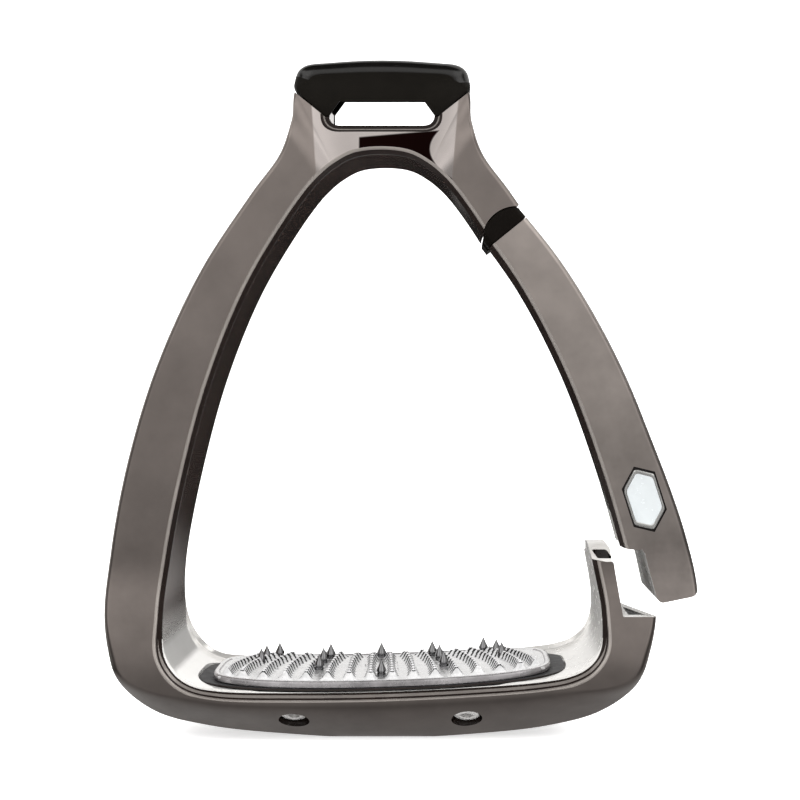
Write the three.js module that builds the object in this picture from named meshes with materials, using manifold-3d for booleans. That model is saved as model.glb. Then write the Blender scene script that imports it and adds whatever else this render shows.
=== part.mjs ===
// A safety stirrup iron whose outer branch swings open. Millimetres, +Z up.
// X runs across the stirrup (the release arm is on +X), -Y is its front and +Y its rear.
// The origin is the middle of the flat land under the base.

import * as THREE from "three";
import { mergeVertices } from "three/addons/utils/BufferGeometryUtils.js";
import Module from "manifold-3d";

const wasm = await Module();
wasm.setup();

const GAP = 0.3; // clearance left between neighbouring pieces
const { smoothstep } = THREE.MathUtils;

// ---------- driving dimensions ----------

// Front-to-rear depth of the metal: a wide base, slimmer branches, a slimmer eye.
const BASE_DEPTH = 56;
const BRANCH_DEPTH = 35;
const EYE_DEPTH = 26;

// Knots of the two outlines seen from the front: [inner x, inner z, outer x, outer z].
// The branches are mirror images; the two lower corners differ because the tread slopes up to +X.
const CROWN = [0, 164.1, 0, 189.5];
const SIDE = [
  [7.5, 163.2, 16, 189.5],
  [12.5, 160.6, 24.3, 183.5],
  [15.9, 157.9, 25.4, 173.9],
  [19.6, 154.0, 28.3, 164.6],
  [27.0, 143.6, 36.6, 153.0],
  [37.4, 125.6, 50.8, 131.3],
  [47.5, 100.4, 63.3, 104.0],
  [55.0, 72.5, 71.6, 76.2],
  [59.4, 49.5, 76.2, 50.5],
];
const LEFT_CORNER = [
  [60.6, 35.5, 77.0, 37.5],
  [59.6, 25.3, 75.4, 26.0],
  [55.8, 19.4, 71.6, 15.3],
  [51.2, 16.6, 63.5, 7.4],
  [44.0, 15.4, 49.0, 3.2],
  [24.0, 15.0, 24.0, 0.6],
];
const RIGHT_CORNER = [
  [61.6, 36.2, 76.9, 37.0],
  [61.0, 26.6, 74.9, 26.0],
  [57.4, 21.8, 70.6, 15.3],
  [52.4, 19.4, 61.5, 7.4],
  [44.5, 18.0, 48.0, 3.3],
  [24.0, 16.4, 24.0, 0.6],
];
const SOLE = [0, 15.3, 0, -0.4];
const RING_STATIONS = 96;
const ARM_DRAFT = 1.4; // how far the arm's inner side slants out towards the rear
const ARM_FLARE = 2.2; // how much wider than the frame the arm's foot is

// Tread: a shallow dish that rises towards +X.
const TREAD_SLOPE = 0.028;
const TREAD_CUP = 0.0007;
const footbed = (x) => SOLE[1] + TREAD_SLOPE * x + TREAD_CUP * x * x;
const PLATE_HALF_LENGTH = 48;
const PLATE_HALF_DEPTH = 25.6;
const PLATE_Y = -0.6; // the plate's middle, just ahead of the frame's
const PLATE_FOOT = 1.3; // underside of the plate above the footbed
const PLATE_TOP = 2.9;
const SEAT_DEPTH = 0.4; // shallow seat in the footbed that the gasket lies in
const GASKET_TOP = 1.0;
const GASKET_EDGE = 3.8; // how far the gasket shows past the plate's ends
const RIB_RISE = 1.7;
const RIB_WIDTH = 3.6;
const RIB_WAIST = 2.2;
const RIB_PITCH = 6;
const RIB_PAIRS = 8;
const RIB_LAST = 43.4; // the outermost pair stands closer in than the pitch
const RIB_BITE = 0.4; // how deep a rib is sunk in the plate
const EDGE_LAND = 1.4; // plain rim left round the ribs

// Spikes: [x, y] on the +X half of the plate; the middle two stand on its middle line.
const SPIKE_MIDDLE = [
  [0, -15],
  [0, 18.5],
];
const SPIKE_SIDE = [
  [17.9, -3],
  [17.1, 9.5],
  [15.2, 18],
  [35.3, 7],
  [34.1, 13.5],
  [30.6, 19.5],
];
const SPIKE_HEIGHT = 3.9;
const SPIKE_RADIUS = 1.3;

// Hinge of the release arm.
const PIVOT = { x: 38.0, z: 139.7 };
const STUB_RADIUS = 9.75; // hollow end of the upper branch, round the pivot
const JOINT_ANGLE = Math.atan2(6.3, 9.45); // slope of the arm's flat upper end
const JOINT_ABOVE_PIVOT = 3.4;
const SLOT_Y = [-9, 0]; // the fork's slot, which the frame's tongue fills
const TONGUE_RADIUS = 6.2;
const PIN_RADIUS = 2.2;
const BUSH_RADIUS = 3.6;
const ARM_REST_ANGLE = THREE.MathUtils.degToRad(5.3); // how far open the arm stands at rest

// Latch end of the frame, with the arm closed.
const LEDGE_Z = 35.0;
const POST_FOOT = [67.4, LEDGE_Z];
const POST_SHOULDER = [65.2, 49.4];
const POST_INNER = [55, 51.2];
const NOSE_WIDTH_X = [50, 64.9];
const NOSE_SIDE = [ // side view of the nose, [y, z] from its front lip to its rear
  [-19, 49.2],
  [-8, 54.0],
  [-3, 54.7],
  [3, 54.1],
  [17, 47],
];
const NOSE_FOOT = 45; // buried in the post
const LATCH_PLACE = [62.2, -13.4, 51.5]; // where the magnet's face lies in the nose's ramp
const LATCH_SIZE = [3.6, 4.6];
const MAGNET_DEPTH = 3;
const KEEPER_FROM = 0.7; // keeper's lower and upper faces above the magnet's face
const KEEPER_TO = 2.6;
const POCKET_PLAN = [ // recess in the ledge, [x, y]
  [69.3, -17.6],
  [74.0, -17.6],
  [69.3, 1.5],
];
const POCKET_FLOOR = 32.4;

// Badge: three corners from its middle; the other three are opposite them.
const BADGE_MIDDLE = [66.9, 64.3];
const BADGE_CORNERS = [
  [-1.9, 8.7],
  [3.4, 6.9],
  [5.6, -3.15],
];
const BADGE_INSCRIBED = 5; // shortest way from the middle to an edge
const BADGE_PROUD = 0.4;
const BADGE_SUNK = 0.6;

// Strap slot and the guard over its bar.
const SLOT_HALF_WIDTH = 15;
const SLOT_Z = [172.6, 180.2];
const SLOT_RADIUS = 3.4;
const ROOF_CLIMB = 0.147; // the face that the strap bears on rises towards the rear
const BAR_HALF_WIDTH = 21.5;
const BAR_TOP = 187.2;
const BAR_DEPTH = 20;
const BAR_CHAMFER = 3.5;
const RIM_STEP = 3; // the recess round the slot's front is this much wider
const RIM_FLOOR = -14.6;
const GUARD_TOP = 190.9;
const GUARD_DEPTH = 27;
const GUARD_FOOT = [16.2, 175.4]; // [x, z] of the guard's lower tips
const GUARD_SHOULDER = [24.3, 182.7];
const GUARD_END = [25.6, 186.0]; // control point of the rounded end
const GUARD_CORNER = [19.8, 189.9];
const NOTCH_HALF = [14.9, 12]; // half widths of the guard's opening, low and high
const NOTCH_Z = [165, 175.4, 179.4];

// Tread screws.
const SCREW_TILT = THREE.MathUtils.degToRad(59);
const RECESS_RADIUS = 4.3;
const RECESS_DEPTH = 4.2;
const HEAD_RADIUS = 2.6;
const HEAD_FROM = 1.2;
const HEAD_TO = 3.6;
const SHANK_RADIUS = 1.4;

// ---------- materials ----------

const finish = (color, roughness, metalness) =>
  new THREE.MeshStandardMaterial({ color, roughness, metalness });
const gunmetal = () => finish(0x76706b, 0.32, 1);
const satinGunmetal = () => finish(0x8c8480, 0.38, 1);
const guardBlack = () => finish(0x1f1e1b, 0.55, 0);
const polymerBlack = () => finish(0x14110d, 0.5, 0);
const steel = () => finish(0xb4b4b6, 0.3, 1);
const darkChrome = () => finish(0x5a5a5c, 0.18, 1);
const polishedSilver = () => finish(0xdcdcde, 0.22, 1);
const treadSilver = () => finish(0xc4c4c8, 0.3, 1);
const rubberGrey = () => finish(0x3a3a3a, 0.8, 0);
const magnetBlack = () => finish(0x17130f, 0.4, 0.3);
const bronze = () => finish(0x9a7440, 0.4, 1);

// ---------- geometry helpers ----------

// A manifold-3d solid from a closed three.js geometry.
function solid(geometry) {
  const bare = geometry.clone();
  bare.deleteAttribute("normal");
  bare.deleteAttribute("uv");
  const merged = mergeVertices(bare, 1e-4);
  return new wasm.Manifold(
    new wasm.Mesh({
      numProp: 3,
      vertProperties: new Float32Array(merged.attributes.position.array),
      triVerts: new Uint32Array(merged.index.array),
    }),
  );
}

function piece(name, shape, material) {
  const mesh = shape.getMesh();
  const geometry = new THREE.BufferGeometry();
  geometry.setAttribute("position", new THREE.BufferAttribute(mesh.vertProperties, 3));
  geometry.setIndex(new THREE.BufferAttribute(mesh.triVerts, 1));
  geometry.computeVertexNormals();
  const made = new THREE.Mesh(geometry, material);
  made.name = name;
  return made;
}

const outline = (points) => new THREE.Shape(points.map(([x, y]) => new THREE.Vector2(x, y)));

// A front-view outline in X and Z, carried through from yLow to yHigh.
function extrudedThroughY(shape, yLow, yHigh) {
  const geometry = new THREE.ExtrudeGeometry(shape, {
    depth: yHigh - yLow,
    bevelEnabled: false,
    curveSegments: 6,
  });
  return geometry.rotateX(Math.PI / 2).translate(0, yHigh, 0);
}

const throughY = (shape, yLow, yHigh) => solid(extrudedThroughY(shape, yLow, yHigh));

// A side-view outline in Y and Z, carried through from xLow to xHigh.
function throughX(shape, xLow, xHigh) {
  const geometry = new THREE.ExtrudeGeometry(shape, { depth: xHigh - xLow, bevelEnabled: false });
  const turn = new THREE.Matrix4().makeBasis(
    new THREE.Vector3(0, 1, 0),
    new THREE.Vector3(0, 0, 1),
    new THREE.Vector3(1, 0, 0),
  );
  return solid(geometry.applyMatrix4(turn).translate(xLow, 0, 0));
}

// A plan-view outline in X and Y, carried through from zLow to zHigh.
function throughZ(shape, zLow, zHigh) {
  const geometry = new THREE.ExtrudeGeometry(shape, { depth: zHigh - zLow, bevelEnabled: false });
  return solid(geometry.translate(0, 0, zLow));
}

function cylinder(from, to, radius, sides = 20) {
  const start = new THREE.Vector3(...from);
  const end = new THREE.Vector3(...to);
  const axis = end.clone().sub(start);
  const geometry = new THREE.CylinderGeometry(radius, radius, axis.length(), sides);
  geometry.applyQuaternion(
    new THREE.Quaternion().setFromUnitVectors(new THREE.Vector3(0, 1, 0), axis.clone().normalize()),
  );
  const middle = start.add(end).multiplyScalar(0.5);
  return solid(geometry.translate(middle.x, middle.y, middle.z));
}

const roundPivot = (radius, yLow, yHigh, sides) =>
  cylinder([PIVOT.x, yLow, PIVOT.z], [PIVOT.x, yHigh, PIVOT.z], radius, sides);

// A closed skin over sections that all have the same number of points. A loop joins its last
// section to its first; otherwise both end sections are capped, so they must be convex.
function skin(sections, isLoop) {
  const count = sections[0].length;
  const positions = sections.flat().flatMap((point) => [point.x, point.y, point.z]);
  const index = [];
  const spans = isLoop ? sections.length : sections.length - 1;
  for (let i = 0; i < spans; i++) {
    const here = i * count;
    const next = ((i + 1) % sections.length) * count;
    for (let j = 0; j < count; j++) {
      const k = (j + 1) % count;
      index.push(here + j, here + k, next + k, here + j, next + k, next + j);
    }
  }
  if (!isLoop) {
    const last = (sections.length - 1) * count;
    for (let j = 1; j < count - 1; j++) {
      index.push(0, j + 1, j, last, last + j, last + j + 1);
    }
  }
  const geometry = new THREE.BufferGeometry();
  geometry.setAttribute("position", new THREE.Float32BufferAttribute(positions, 3));
  geometry.setIndex(index);
  return solid(geometry);
}

// ---------- the closed ring that the frame and the arm are cut from ----------

// Depth of the metal from front to rear at a height.
function depthAt(z) {
  const flare = 1 - smoothstep(z, 16, 52);
  const taper = smoothstep(z, 168, 181);
  return (
    BRANCH_DEPTH + (BASE_DEPTH - BRANCH_DEPTH) * flare - (BRANCH_DEPTH - EYE_DEPTH) * taper
  );
}

// Inner and outer outlines as closed curves that pass through paired knots.
function ringCurves() {
  const mirrored = ([innerX, innerZ, outerX, outerZ]) => [-innerX, innerZ, -outerX, outerZ];
  const left = [...SIDE, ...LEFT_CORNER].map(mirrored);
  const right = [...SIDE, ...RIGHT_CORNER].reverse();
  const knots = [CROWN, ...left, SOLE, ...right];
  const curve = (xAt, zAt) =>
    new THREE.CatmullRomCurve3(
      knots.map((knot) => new THREE.Vector3(knot[xAt], 0, knot[zAt])),
      true,
      "centripetal",
    );
  return { inner: curve(0, 1), outer: curve(2, 3) };
}

// One cross-section of the ring, from its inner outline towards its outer one. The front face is
// chamfered inside and rounded outside, and the outer side slants in towards the rear.
function ringSection(inner, outer, draft) {
  const across = outer.clone().sub(inner);
  const width = across.length();
  across.normalize();
  const isBase = 1 - smoothstep(inner.z, 19, 35);
  const isHigh = smoothstep(outer.z, 115, 145);
  const chamfer = 1.5 + 1.5 * isBase;
  const slant = 10 - 6 * isHigh;
  const roundAcross = 1.5 + (width - chamfer - 2) * isBase;
  const roundDeep = 1.5 + 13.5 * isBase;
  const rim = 1.8 * isBase; // the footbed's raised rear edge
  const at = (u, fromFront, fromRear) => {
    const point = inner.clone().addScaledVector(across, u);
    const half = depthAt(point.z) / 2;
    const y = fromRear === undefined ? -half + fromFront : half - fromRear;
    return new THREE.Vector3(point.x, y, Math.max(point.z, 0));
  };
  const corner = new THREE.QuadraticBezierCurve(
    new THREE.Vector2(width - roundAcross, 0),
    new THREE.Vector2(width - 8.6 * isBase, 1.6 * isBase),
    new THREE.Vector2(width, roundDeep),
  );
  const landEnd = 0.5 + 20.5 * isBase;
  return [
    at(0, chamfer),
    at(chamfer, 0),
    ...corner.getPoints(4).map((point) => at(point.x, point.y)),
    at(width, roundDeep + landEnd),
    at(width - slant, 0, 0),
    at(0.8 + draft, 0, 0),
    at(draft - rim, 0, 0.8),
    at(draft * 0.95, 0, 2.2),
  ];
}

// The arm's ring has a slanted inner side, and its outer side flares out at the foot.
function ring(draft = 0, flare = 0) {
  const { inner, outer } = ringCurves();
  const sections = [];
  for (let i = 0; i < RING_STATIONS; i++) {
    const t = i / RING_STATIONS;
    const rim = outer.getPoint(t);
    rim.x += Math.sign(rim.x) * flare * (1 - smoothstep(rim.z, 40, 88));
    sections.push(ringSection(inner.getPoint(t), rim, draft));
  }
  return skin(sections, true);
}

// ---------- hinge and latch outlines ----------

// A point given along and above the arm's flat upper end, measured from the pivot.
function fromJoint(along, above) {
  const c = Math.cos(JOINT_ANGLE);
  const s = Math.sin(JOINT_ANGLE);
  return [PIVOT.x + along * c - above * s, PIVOT.z + along * s + above * c];
}

// The space that the closed arm takes out of the ring, grown inwards by a margin.
function armOutline(margin) {
  return outline([
    fromJoint(-14, JOINT_ABOVE_PIVOT),
    fromJoint(16, JOINT_ABOVE_PIVOT),
    [95, 152],
    [95, LEDGE_Z + margin],
    [POST_FOOT[0] + margin, LEDGE_Z + margin],
    [POST_SHOULDER[0] + margin, POST_SHOULDER[1] + margin],
    [POST_INNER[0], POST_INNER[1] + margin],
    [45, 57],
  ]);
}

// What the frame leaves free: the closed arm's space and the round hollow of the hinge.
function armSpace() {
  const cap = outline([
    fromJoint(-14, JOINT_ABOVE_PIVOT + 0.01),
    [PIVOT.x - STUB_RADIUS, PIVOT.z],
    [PIVOT.x, PIVOT.z + STUB_RADIUS],
    [PIVOT.x + 20, PIVOT.z + 26],
    [95, 152.01],
    fromJoint(16, JOINT_ABOVE_PIVOT + 0.01),
  ]);
  return throughY(armOutline(0), -40, 40)
    .add(throughY(cap, -40, 40))
    .add(roundPivot(STUB_RADIUS, -40, 40, 48));
}

// The nose on top of the latch post: a ramp that rises behind the front face.
function tipSpace(margin) {
  const top = Math.max(...NOSE_SIDE.map(([, z]) => z)) + margin;
  const [xLow, xHigh] = NOSE_WIDTH_X;
  const frontView = outline([
    [xLow, NOSE_FOOT],
    [xHigh + margin, NOSE_FOOT],
    [xHigh - 0.4 + margin, top],
    [xLow, top],
  ]);
  const first = NOSE_SIDE[0];
  const last = NOSE_SIDE.at(-1);
  const sideView = outline([
    [first[0] - margin, NOSE_FOOT],
    [first[0] - margin, first[1] + margin],
    ...NOSE_SIDE.slice(1, -1).map(([y, z]) => [y, z + margin]),
    [last[0] + margin, last[1] + margin],
    [last[0] + margin, NOSE_FOOT],
  ]);
  return throughY(frontView, -30, 30).intersect(throughX(sideView, 40, 80));
}

// A block square to the nose's ramp, from one height above the magnet's face to another.
function rampBlock(margin, low, high) {
  const [front, rampTop] = NOSE_SIDE;
  const slope = Math.atan2(rampTop[1] - front[1], rampTop[0] - front[0]);
  const [width, length] = LATCH_SIZE.map((size) => size + 2 * margin);
  const geometry = new THREE.BoxGeometry(width, length, high - low);
  geometry.translate(0, 0, (high + low) / 2);
  geometry.rotateX(slope);
  return solid(geometry.translate(...LATCH_PLACE));
}

// The recess in the ledge, a triangle in plan that follows the slanted outer side. The inset
// makes the pad that lies in it; the sharp corners draw in further than the square one.
function ledgePocket(inset, zLow, zHigh) {
  const [corner, outer, rear] = POCKET_PLAN;
  return throughZ(
    outline([
      [corner[0] + inset, corner[1] + inset],
      [outer[0] - inset * 1.4, outer[1] + inset],
      [rear[0] + inset, rear[1] - inset * 4],
    ]),
    zLow,
    zHigh,
  );
}

// ---------- the eye ----------

// An opening with an upright front view whose roof climbs from the guard's front to its rear.
function climbingOpening(shape) {
  const climb = new THREE.Matrix4().makeShear(0, 0, 0, ROOF_CLIMB, 0, 0);
  climb.premultiply(new THREE.Matrix4().makeTranslation(0, 0, (ROOF_CLIMB * GUARD_DEPTH) / 2));
  const level = extrudedThroughY(shape, -30, 30);
  return solid(level).add(solid(level.clone().applyMatrix4(climb)));
}

// The guard's front view, a rounded crown over two slanting shoulders, grown by a margin.
function guardOutline(margin) {
  const top = GUARD_TOP + margin;
  const foot = [GUARD_FOOT[0], GUARD_FOOT[1] - margin];
  const shoulder = [GUARD_SHOULDER[0] + margin, GUARD_SHOULDER[1] - margin];
  const end = [GUARD_END[0] + margin, GUARD_END[1]];
  const corner = [GUARD_CORNER[0] + margin, GUARD_CORNER[1] + margin];
  const shape = new THREE.Shape();
  shape.moveTo(-foot[0], foot[1]);
  shape.lineTo(-shoulder[0], shoulder[1]);
  shape.quadraticCurveTo(-end[0], end[1], -corner[0], corner[1]);
  shape.quadraticCurveTo(-corner[0] / 2, top, 0, top);
  shape.quadraticCurveTo(corner[0] / 2, top, corner[0], corner[1]);
  shape.quadraticCurveTo(end[0], end[1], shoulder[0], shoulder[1]);
  shape.lineTo(foot[0], foot[1]);
  return shape;
}

// The guard's own opening, narrower at the top than the frame's slot.
function guardNotch() {
  const [wide, narrow] = NOTCH_HALF;
  const [low, bend, roof] = NOTCH_Z;
  return outline([
    [-wide, low],
    [wide, low],
    [wide, bend],
    [narrow, roof],
    [-narrow, roof],
    [-wide, bend],
  ]);
}

function barOutline(margin) {
  const half = BAR_HALF_WIDTH + margin;
  const top = BAR_TOP + margin;
  const low = NOTCH_Z[0] + 2;
  return outline([
    [-half, low],
    [half, low],
    [half, top - BAR_CHAMFER],
    [half - BAR_CHAMFER, top],
    [-half + BAR_CHAMFER, top],
    [-half, top - BAR_CHAMFER],
  ]);
}

function roundedSlot(halfWidth, zLow, zHigh, radius) {
  const shape = new THREE.Shape();
  shape.moveTo(-halfWidth + radius, zLow);
  shape.lineTo(halfWidth - radius, zLow);
  shape.quadraticCurveTo(halfWidth, zLow, halfWidth, zLow + radius);
  shape.lineTo(halfWidth, zHigh - 1);
  shape.lineTo(halfWidth - 1, zHigh);
  shape.lineTo(-halfWidth + 1, zHigh);
  shape.lineTo(-halfWidth, zHigh - 1);
  shape.lineTo(-halfWidth, zLow + radius);
  shape.quadraticCurveTo(-halfWidth, zLow, -halfWidth + radius, zLow);
  return shape;
}

// ---------- fasteners ----------

// The slanted screws that hold the tread plate, each by its seat on the hull and its axis.
const SCREW_SEATS = [
  { name: "tread_screw_front_left", x: -24, y: -21.5, z: 6.6, lean: 1 },
  { name: "tread_screw_front_right", x: 24, y: -21.5, z: 6.6, lean: 1 },
  { name: "tread_screw_rear_left", x: -24, y: 19, z: 4.6, lean: -1 },
  { name: "tread_screw_rear_right", x: 24, y: 19, z: 4.6, lean: -1 },
];

// A cylinder on a screw's axis, from one depth below the seat to another.
function onScrew(seat, from, to, radius, sides) {
  const along = [0, seat.lean * Math.cos(SCREW_TILT), Math.sin(SCREW_TILT)];
  const point = (depth) => [seat.x, seat.y + along[1] * depth, seat.z + along[2] * depth];
  return cylinder(point(from), point(to), radius, sides);
}

// How deep the screw must go for its tip to lie in the plate.
const screwReach = (seat) => (footbed(seat.x) + 2.0 - seat.z) / Math.sin(SCREW_TILT);

function treadScrew(seat) {
  const reach = screwReach(seat);
  const head = onScrew(seat, HEAD_FROM, HEAD_TO, HEAD_RADIUS, 20);
  const shank = onScrew(seat, HEAD_TO - 0.1, reach, SHANK_RADIUS, 12);
  const socket = onScrew(seat, 0, HEAD_FROM + 1.2, 1.4, 6);
  return piece(seat.name, head.add(shank).subtract(socket), steel());
}

// ---------- pieces of the frame body ----------

function frame() {
  let body = ring().subtract(armSpace());
  const tongueBand = outline([
    fromJoint(-5, 0),
    fromJoint(4, 0),
    fromJoint(1.5, 12),
    fromJoint(-7, 12),
  ]);
  const tongue = roundPivot(TONGUE_RADIUS, SLOT_Y[0] + GAP, SLOT_Y[1] - GAP, 32).add(
    throughY(tongueBand, SLOT_Y[0] + GAP, SLOT_Y[1] - GAP),
  );
  body = body
    .add(tongue)
    .subtract(roundPivot(BUSH_RADIUS + GAP, -12, 4, 24))
    .add(ring().intersect(tipSpace(0)))
    .subtract(rampBlock(GAP, -MAGNET_DEPTH - GAP, MAGNET_DEPTH))
    .subtract(ledgePocket(0, POCKET_FLOOR, LEDGE_Z + 5))
    .subtract(gasketSlab(GAP, -SEAT_DEPTH, 20));
  const bar = throughY(barOutline(0), -BAR_DEPTH / 2, BAR_DEPTH / 2);
  const guardSeat = throughY(guardOutline(GAP), -30, 30).subtract(bar);
  const aboveBar = outline([[-40, BAR_TOP], [40, BAR_TOP], [40, 210], [-40, 210]]);
  const rim = roundedSlot(SLOT_HALF_WIDTH + RIM_STEP, SLOT_Z[0] - 2.2, SLOT_Z[1] + 0.8, 5);
  body = body
    .subtract(guardSeat)
    .subtract(throughY(aboveBar, -30, 30))
    .subtract(climbingOpening(roundedSlot(SLOT_HALF_WIDTH, ...SLOT_Z, SLOT_RADIUS)))
    .subtract(throughY(rim, -30, RIM_FLOOR));
  for (const seat of SCREW_SEATS) {
    body = body
      .subtract(onScrew(seat, -8, RECESS_DEPTH, RECESS_RADIUS, 24))
      .subtract(onScrew(seat, HEAD_TO - 0.6, screwReach(seat) + 2, SHANK_RADIUS + GAP, 12));
  }
  return piece("frame", body, gunmetal());
}

function strapGuard() {
  const shell = throughY(guardOutline(0), -GUARD_DEPTH / 2, GUARD_DEPTH / 2);
  const hollow = throughY(barOutline(GAP), -BAR_DEPTH / 2 - GAP, BAR_DEPTH / 2 + GAP);
  const body = shell.subtract(hollow).subtract(climbingOpening(guardNotch()));
  return piece("strap_guard", body, guardBlack());
}

function hingeBush() {
  const sleeve = roundPivot(BUSH_RADIUS, SLOT_Y[0] + GAP, SLOT_Y[1] - GAP, 24);
  return piece("hinge_bush", sleeve.subtract(roundPivot(PIN_RADIUS + GAP, -12, 4, 24)), bronze());
}

const latchMagnet = () => piece("latch_magnet", rampBlock(0, -MAGNET_DEPTH, 0.1), magnetBlack());

function stopPad() {
  const shape = ledgePocket(GAP, POCKET_FLOOR + GAP, LEDGE_Z - 0.4);
  return piece("arm_stop_pad", shape, rubberGrey());
}

// ---------- tread pieces ----------

// Half the depth of a soft-cornered oblong, a share of its half length from its middle.
const oblong = (share, halfDepth) => halfDepth * (1 - Math.abs(share) ** 4) ** 0.25;

// A slab that follows the dished footbed.
function treadSlab(halfLength, halfDepth, low, high) {
  const sections = [];
  const steps = 28;
  for (let i = 0; i <= steps; i++) {
    const share = Math.sin(((i / steps) * 2 - 1) * (Math.PI / 2) * 0.985);
    const x = halfLength * share;
    const half = oblong(share, halfDepth);
    const z = footbed(x);
    sections.push([
      new THREE.Vector3(x, PLATE_Y - half, z + low),
      new THREE.Vector3(x, PLATE_Y + half, z + low),
      new THREE.Vector3(x, PLATE_Y + half, z + high),
      new THREE.Vector3(x, PLATE_Y - half, z + high),
    ]);
  }
  return skin(sections, false);
}

// The pattern of ribs and spikes is skewed a little to -X, more so towards the rear.
const patternMiddle = (y) => -0.6 - 0.04 * y;

// The ribs draw together towards the rear: 1 at the front end (share -1), 0.77 at the rear end.
const gather = (share) => 0.95 - 0.115 * share - 0.065 * share * share;

// A rib narrows to a waist at mid-depth.
function rib(start) {
  const edge = (side, share) => {
    const x = start * gather(share);
    const y = PLATE_Y + share * (oblong(x / PLATE_HALF_LENGTH, PLATE_HALF_DEPTH) - EDGE_LAND);
    const half = (RIB_WAIST + (RIB_WIDTH - RIB_WAIST) * share * share) / 2;
    return [x + side * half + patternMiddle(y), y];
  };
  const shares = [-1, -0.6, -0.2, 0.2, 0.6, 1];
  const points = [
    ...shares.map((share) => edge(1, share)),
    ...shares.map((share) => edge(-1, -share)),
  ];
  const z = footbed(start) + PLATE_TOP;
  return throughZ(outline(points), z - RIB_BITE, z + RIB_RISE);
}

function spikePlaces() {
  const mirrored = SPIKE_SIDE.map(([x, y]) => [-x, y]);
  const even = [...SPIKE_MIDDLE, ...SPIKE_SIDE, ...mirrored];
  return even.map(([x, y]) => [x + patternMiddle(y), y]);
}

function treadPlate() {
  let plate = treadSlab(PLATE_HALF_LENGTH, PLATE_HALF_DEPTH, PLATE_FOOT, PLATE_TOP);
  for (let i = 0; i < RIB_PAIRS; i++) {
    const x = i < RIB_PAIRS - 1 ? (i + 0.5) * RIB_PITCH : RIB_LAST;
    plate = plate.add(rib(x)).add(rib(-x));
  }
  for (const [x, y] of spikePlaces()) {
    plate = plate.subtract(cylinder([x, y, 10], [x, y, 40], SPIKE_RADIUS + GAP, 10));
  }
  for (const seat of SCREW_SEATS) {
    const reach = screwReach(seat);
    plate = plate.subtract(onScrew(seat, reach - 4, reach + GAP, SHANK_RADIUS + GAP, 12));
  }
  return piece("tread_plate", plate, treadSilver());
}

// The gasket's outline, grown by a margin.
const gasketSlab = (margin, low, high) =>
  treadSlab(PLATE_HALF_LENGTH + GASKET_EDGE + margin, PLATE_HALF_DEPTH + 0.3 + margin, low, high);

function treadGasket() {
  let sheet = gasketSlab(0, GAP - SEAT_DEPTH, GASKET_TOP);
  for (const seat of SCREW_SEATS) {
    const reach = screwReach(seat);
    sheet = sheet.subtract(onScrew(seat, reach - 6, reach + 2, SHANK_RADIUS + GAP, 12));
  }
  return piece("tread_gasket", sheet, rubberGrey());
}

// A turned stud: a shank in the plate under a sharp cone.
function spike(number, [x, y]) {
  const profile = [
    [0, PLATE_FOOT + 0.1],
    [SPIKE_RADIUS, PLATE_FOOT + 0.1],
    [SPIKE_RADIUS, PLATE_TOP + 0.7],
    [0.55, PLATE_TOP + 2.4],
    [0.12, PLATE_TOP + SPIKE_HEIGHT],
    [0, PLATE_TOP + SPIKE_HEIGHT],
  ];
  const points = profile.map(([radius, height]) => new THREE.Vector2(radius, height));
  const geometry = new THREE.LatheGeometry(points, 12);
  geometry.rotateX(Math.PI / 2).translate(x, y, footbed(x));
  return piece(`spike_${number}`, solid(geometry), darkChrome());
}

// ---------- pieces of the arm, drawn closed ----------

function releaseArm() {
  const blank = ring(ARM_DRAFT, ARM_FLARE).intersect(throughY(armOutline(GAP + 0.05), -40, 40));
  const body = blank
    .subtract(roundPivot(STUB_RADIUS + 0.4, SLOT_Y[0], SLOT_Y[1], 48))
    .subtract(roundPivot(PIN_RADIUS + GAP, -14, 30, 24))
    .subtract(roundPivot(4, 12.7, 30, 24))
    .subtract(tipSpace(GAP + 0.1))
    .subtract(rampBlock(GAP, 0, KEEPER_TO + GAP))
    .subtract(badgeBlank(GAP, -30, -BRANCH_DEPTH / 2 + BADGE_SUNK + GAP));
  return piece("release_arm", body, satinGunmetal());
}

// The black covers fill the round hollow of the stub, in front of and behind the tongue.
function hingeCover(name, yLow, yHigh) {
  const above = outline([
    fromJoint(-14, JOINT_ABOVE_PIVOT + GAP),
    fromJoint(14, JOINT_ABOVE_PIVOT + GAP),
    fromJoint(14, 14),
    fromJoint(-14, 14),
  ]);
  const body = ring()
    .intersect(roundPivot(STUB_RADIUS - 0.35, yLow, yHigh, 48))
    .intersect(throughY(above, yLow, yHigh));
  return piece(name, body, polymerBlack());
}

function hingePin() {
  const shank = roundPivot(PIN_RADIUS, -13.6, 13.4, 20);
  const head = roundPivot(3.6, 13, 16, 24);
  return piece("hinge_pin", shank.add(head).subtract(roundPivot(1.5, 14.4, 20, 6)), steel());
}

const latchKeeper = () => piece("latch_keeper", rampBlock(0, KEEPER_FROM, KEEPER_TO), steel());

// A long six-cornered plate set along the arm, grown by a margin.
function badgeBlank(margin, yLow, yHigh) {
  const grow = 1 + margin / BADGE_INSCRIBED;
  const opposite = BADGE_CORNERS.map(([x, z]) => [-x, -z]);
  const corners = [...BADGE_CORNERS, ...opposite].map(([x, z]) => [
    BADGE_MIDDLE[0] + x * grow,
    BADGE_MIDDLE[1] + z * grow,
  ]);
  return throughY(outline(corners), yLow, yHigh);
}

function badge() {
  const face = -BRANCH_DEPTH / 2;
  return piece("badge", badgeBlank(0, face - BADGE_PROUD, face + BADGE_SUNK), polishedSilver());
}

// ---------- assembly ----------

function frameBody() {
  const group = new THREE.Group();
  group.add(frame(), strapGuard(), hingeBush(), latchMagnet(), stopPad());
  group.add(treadPlate(), treadGasket());
  spikePlaces().forEach((place, i) => group.add(spike(i + 1, place)));
  SCREW_SEATS.forEach((seat) => group.add(treadScrew(seat)));
  return group;
}

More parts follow.
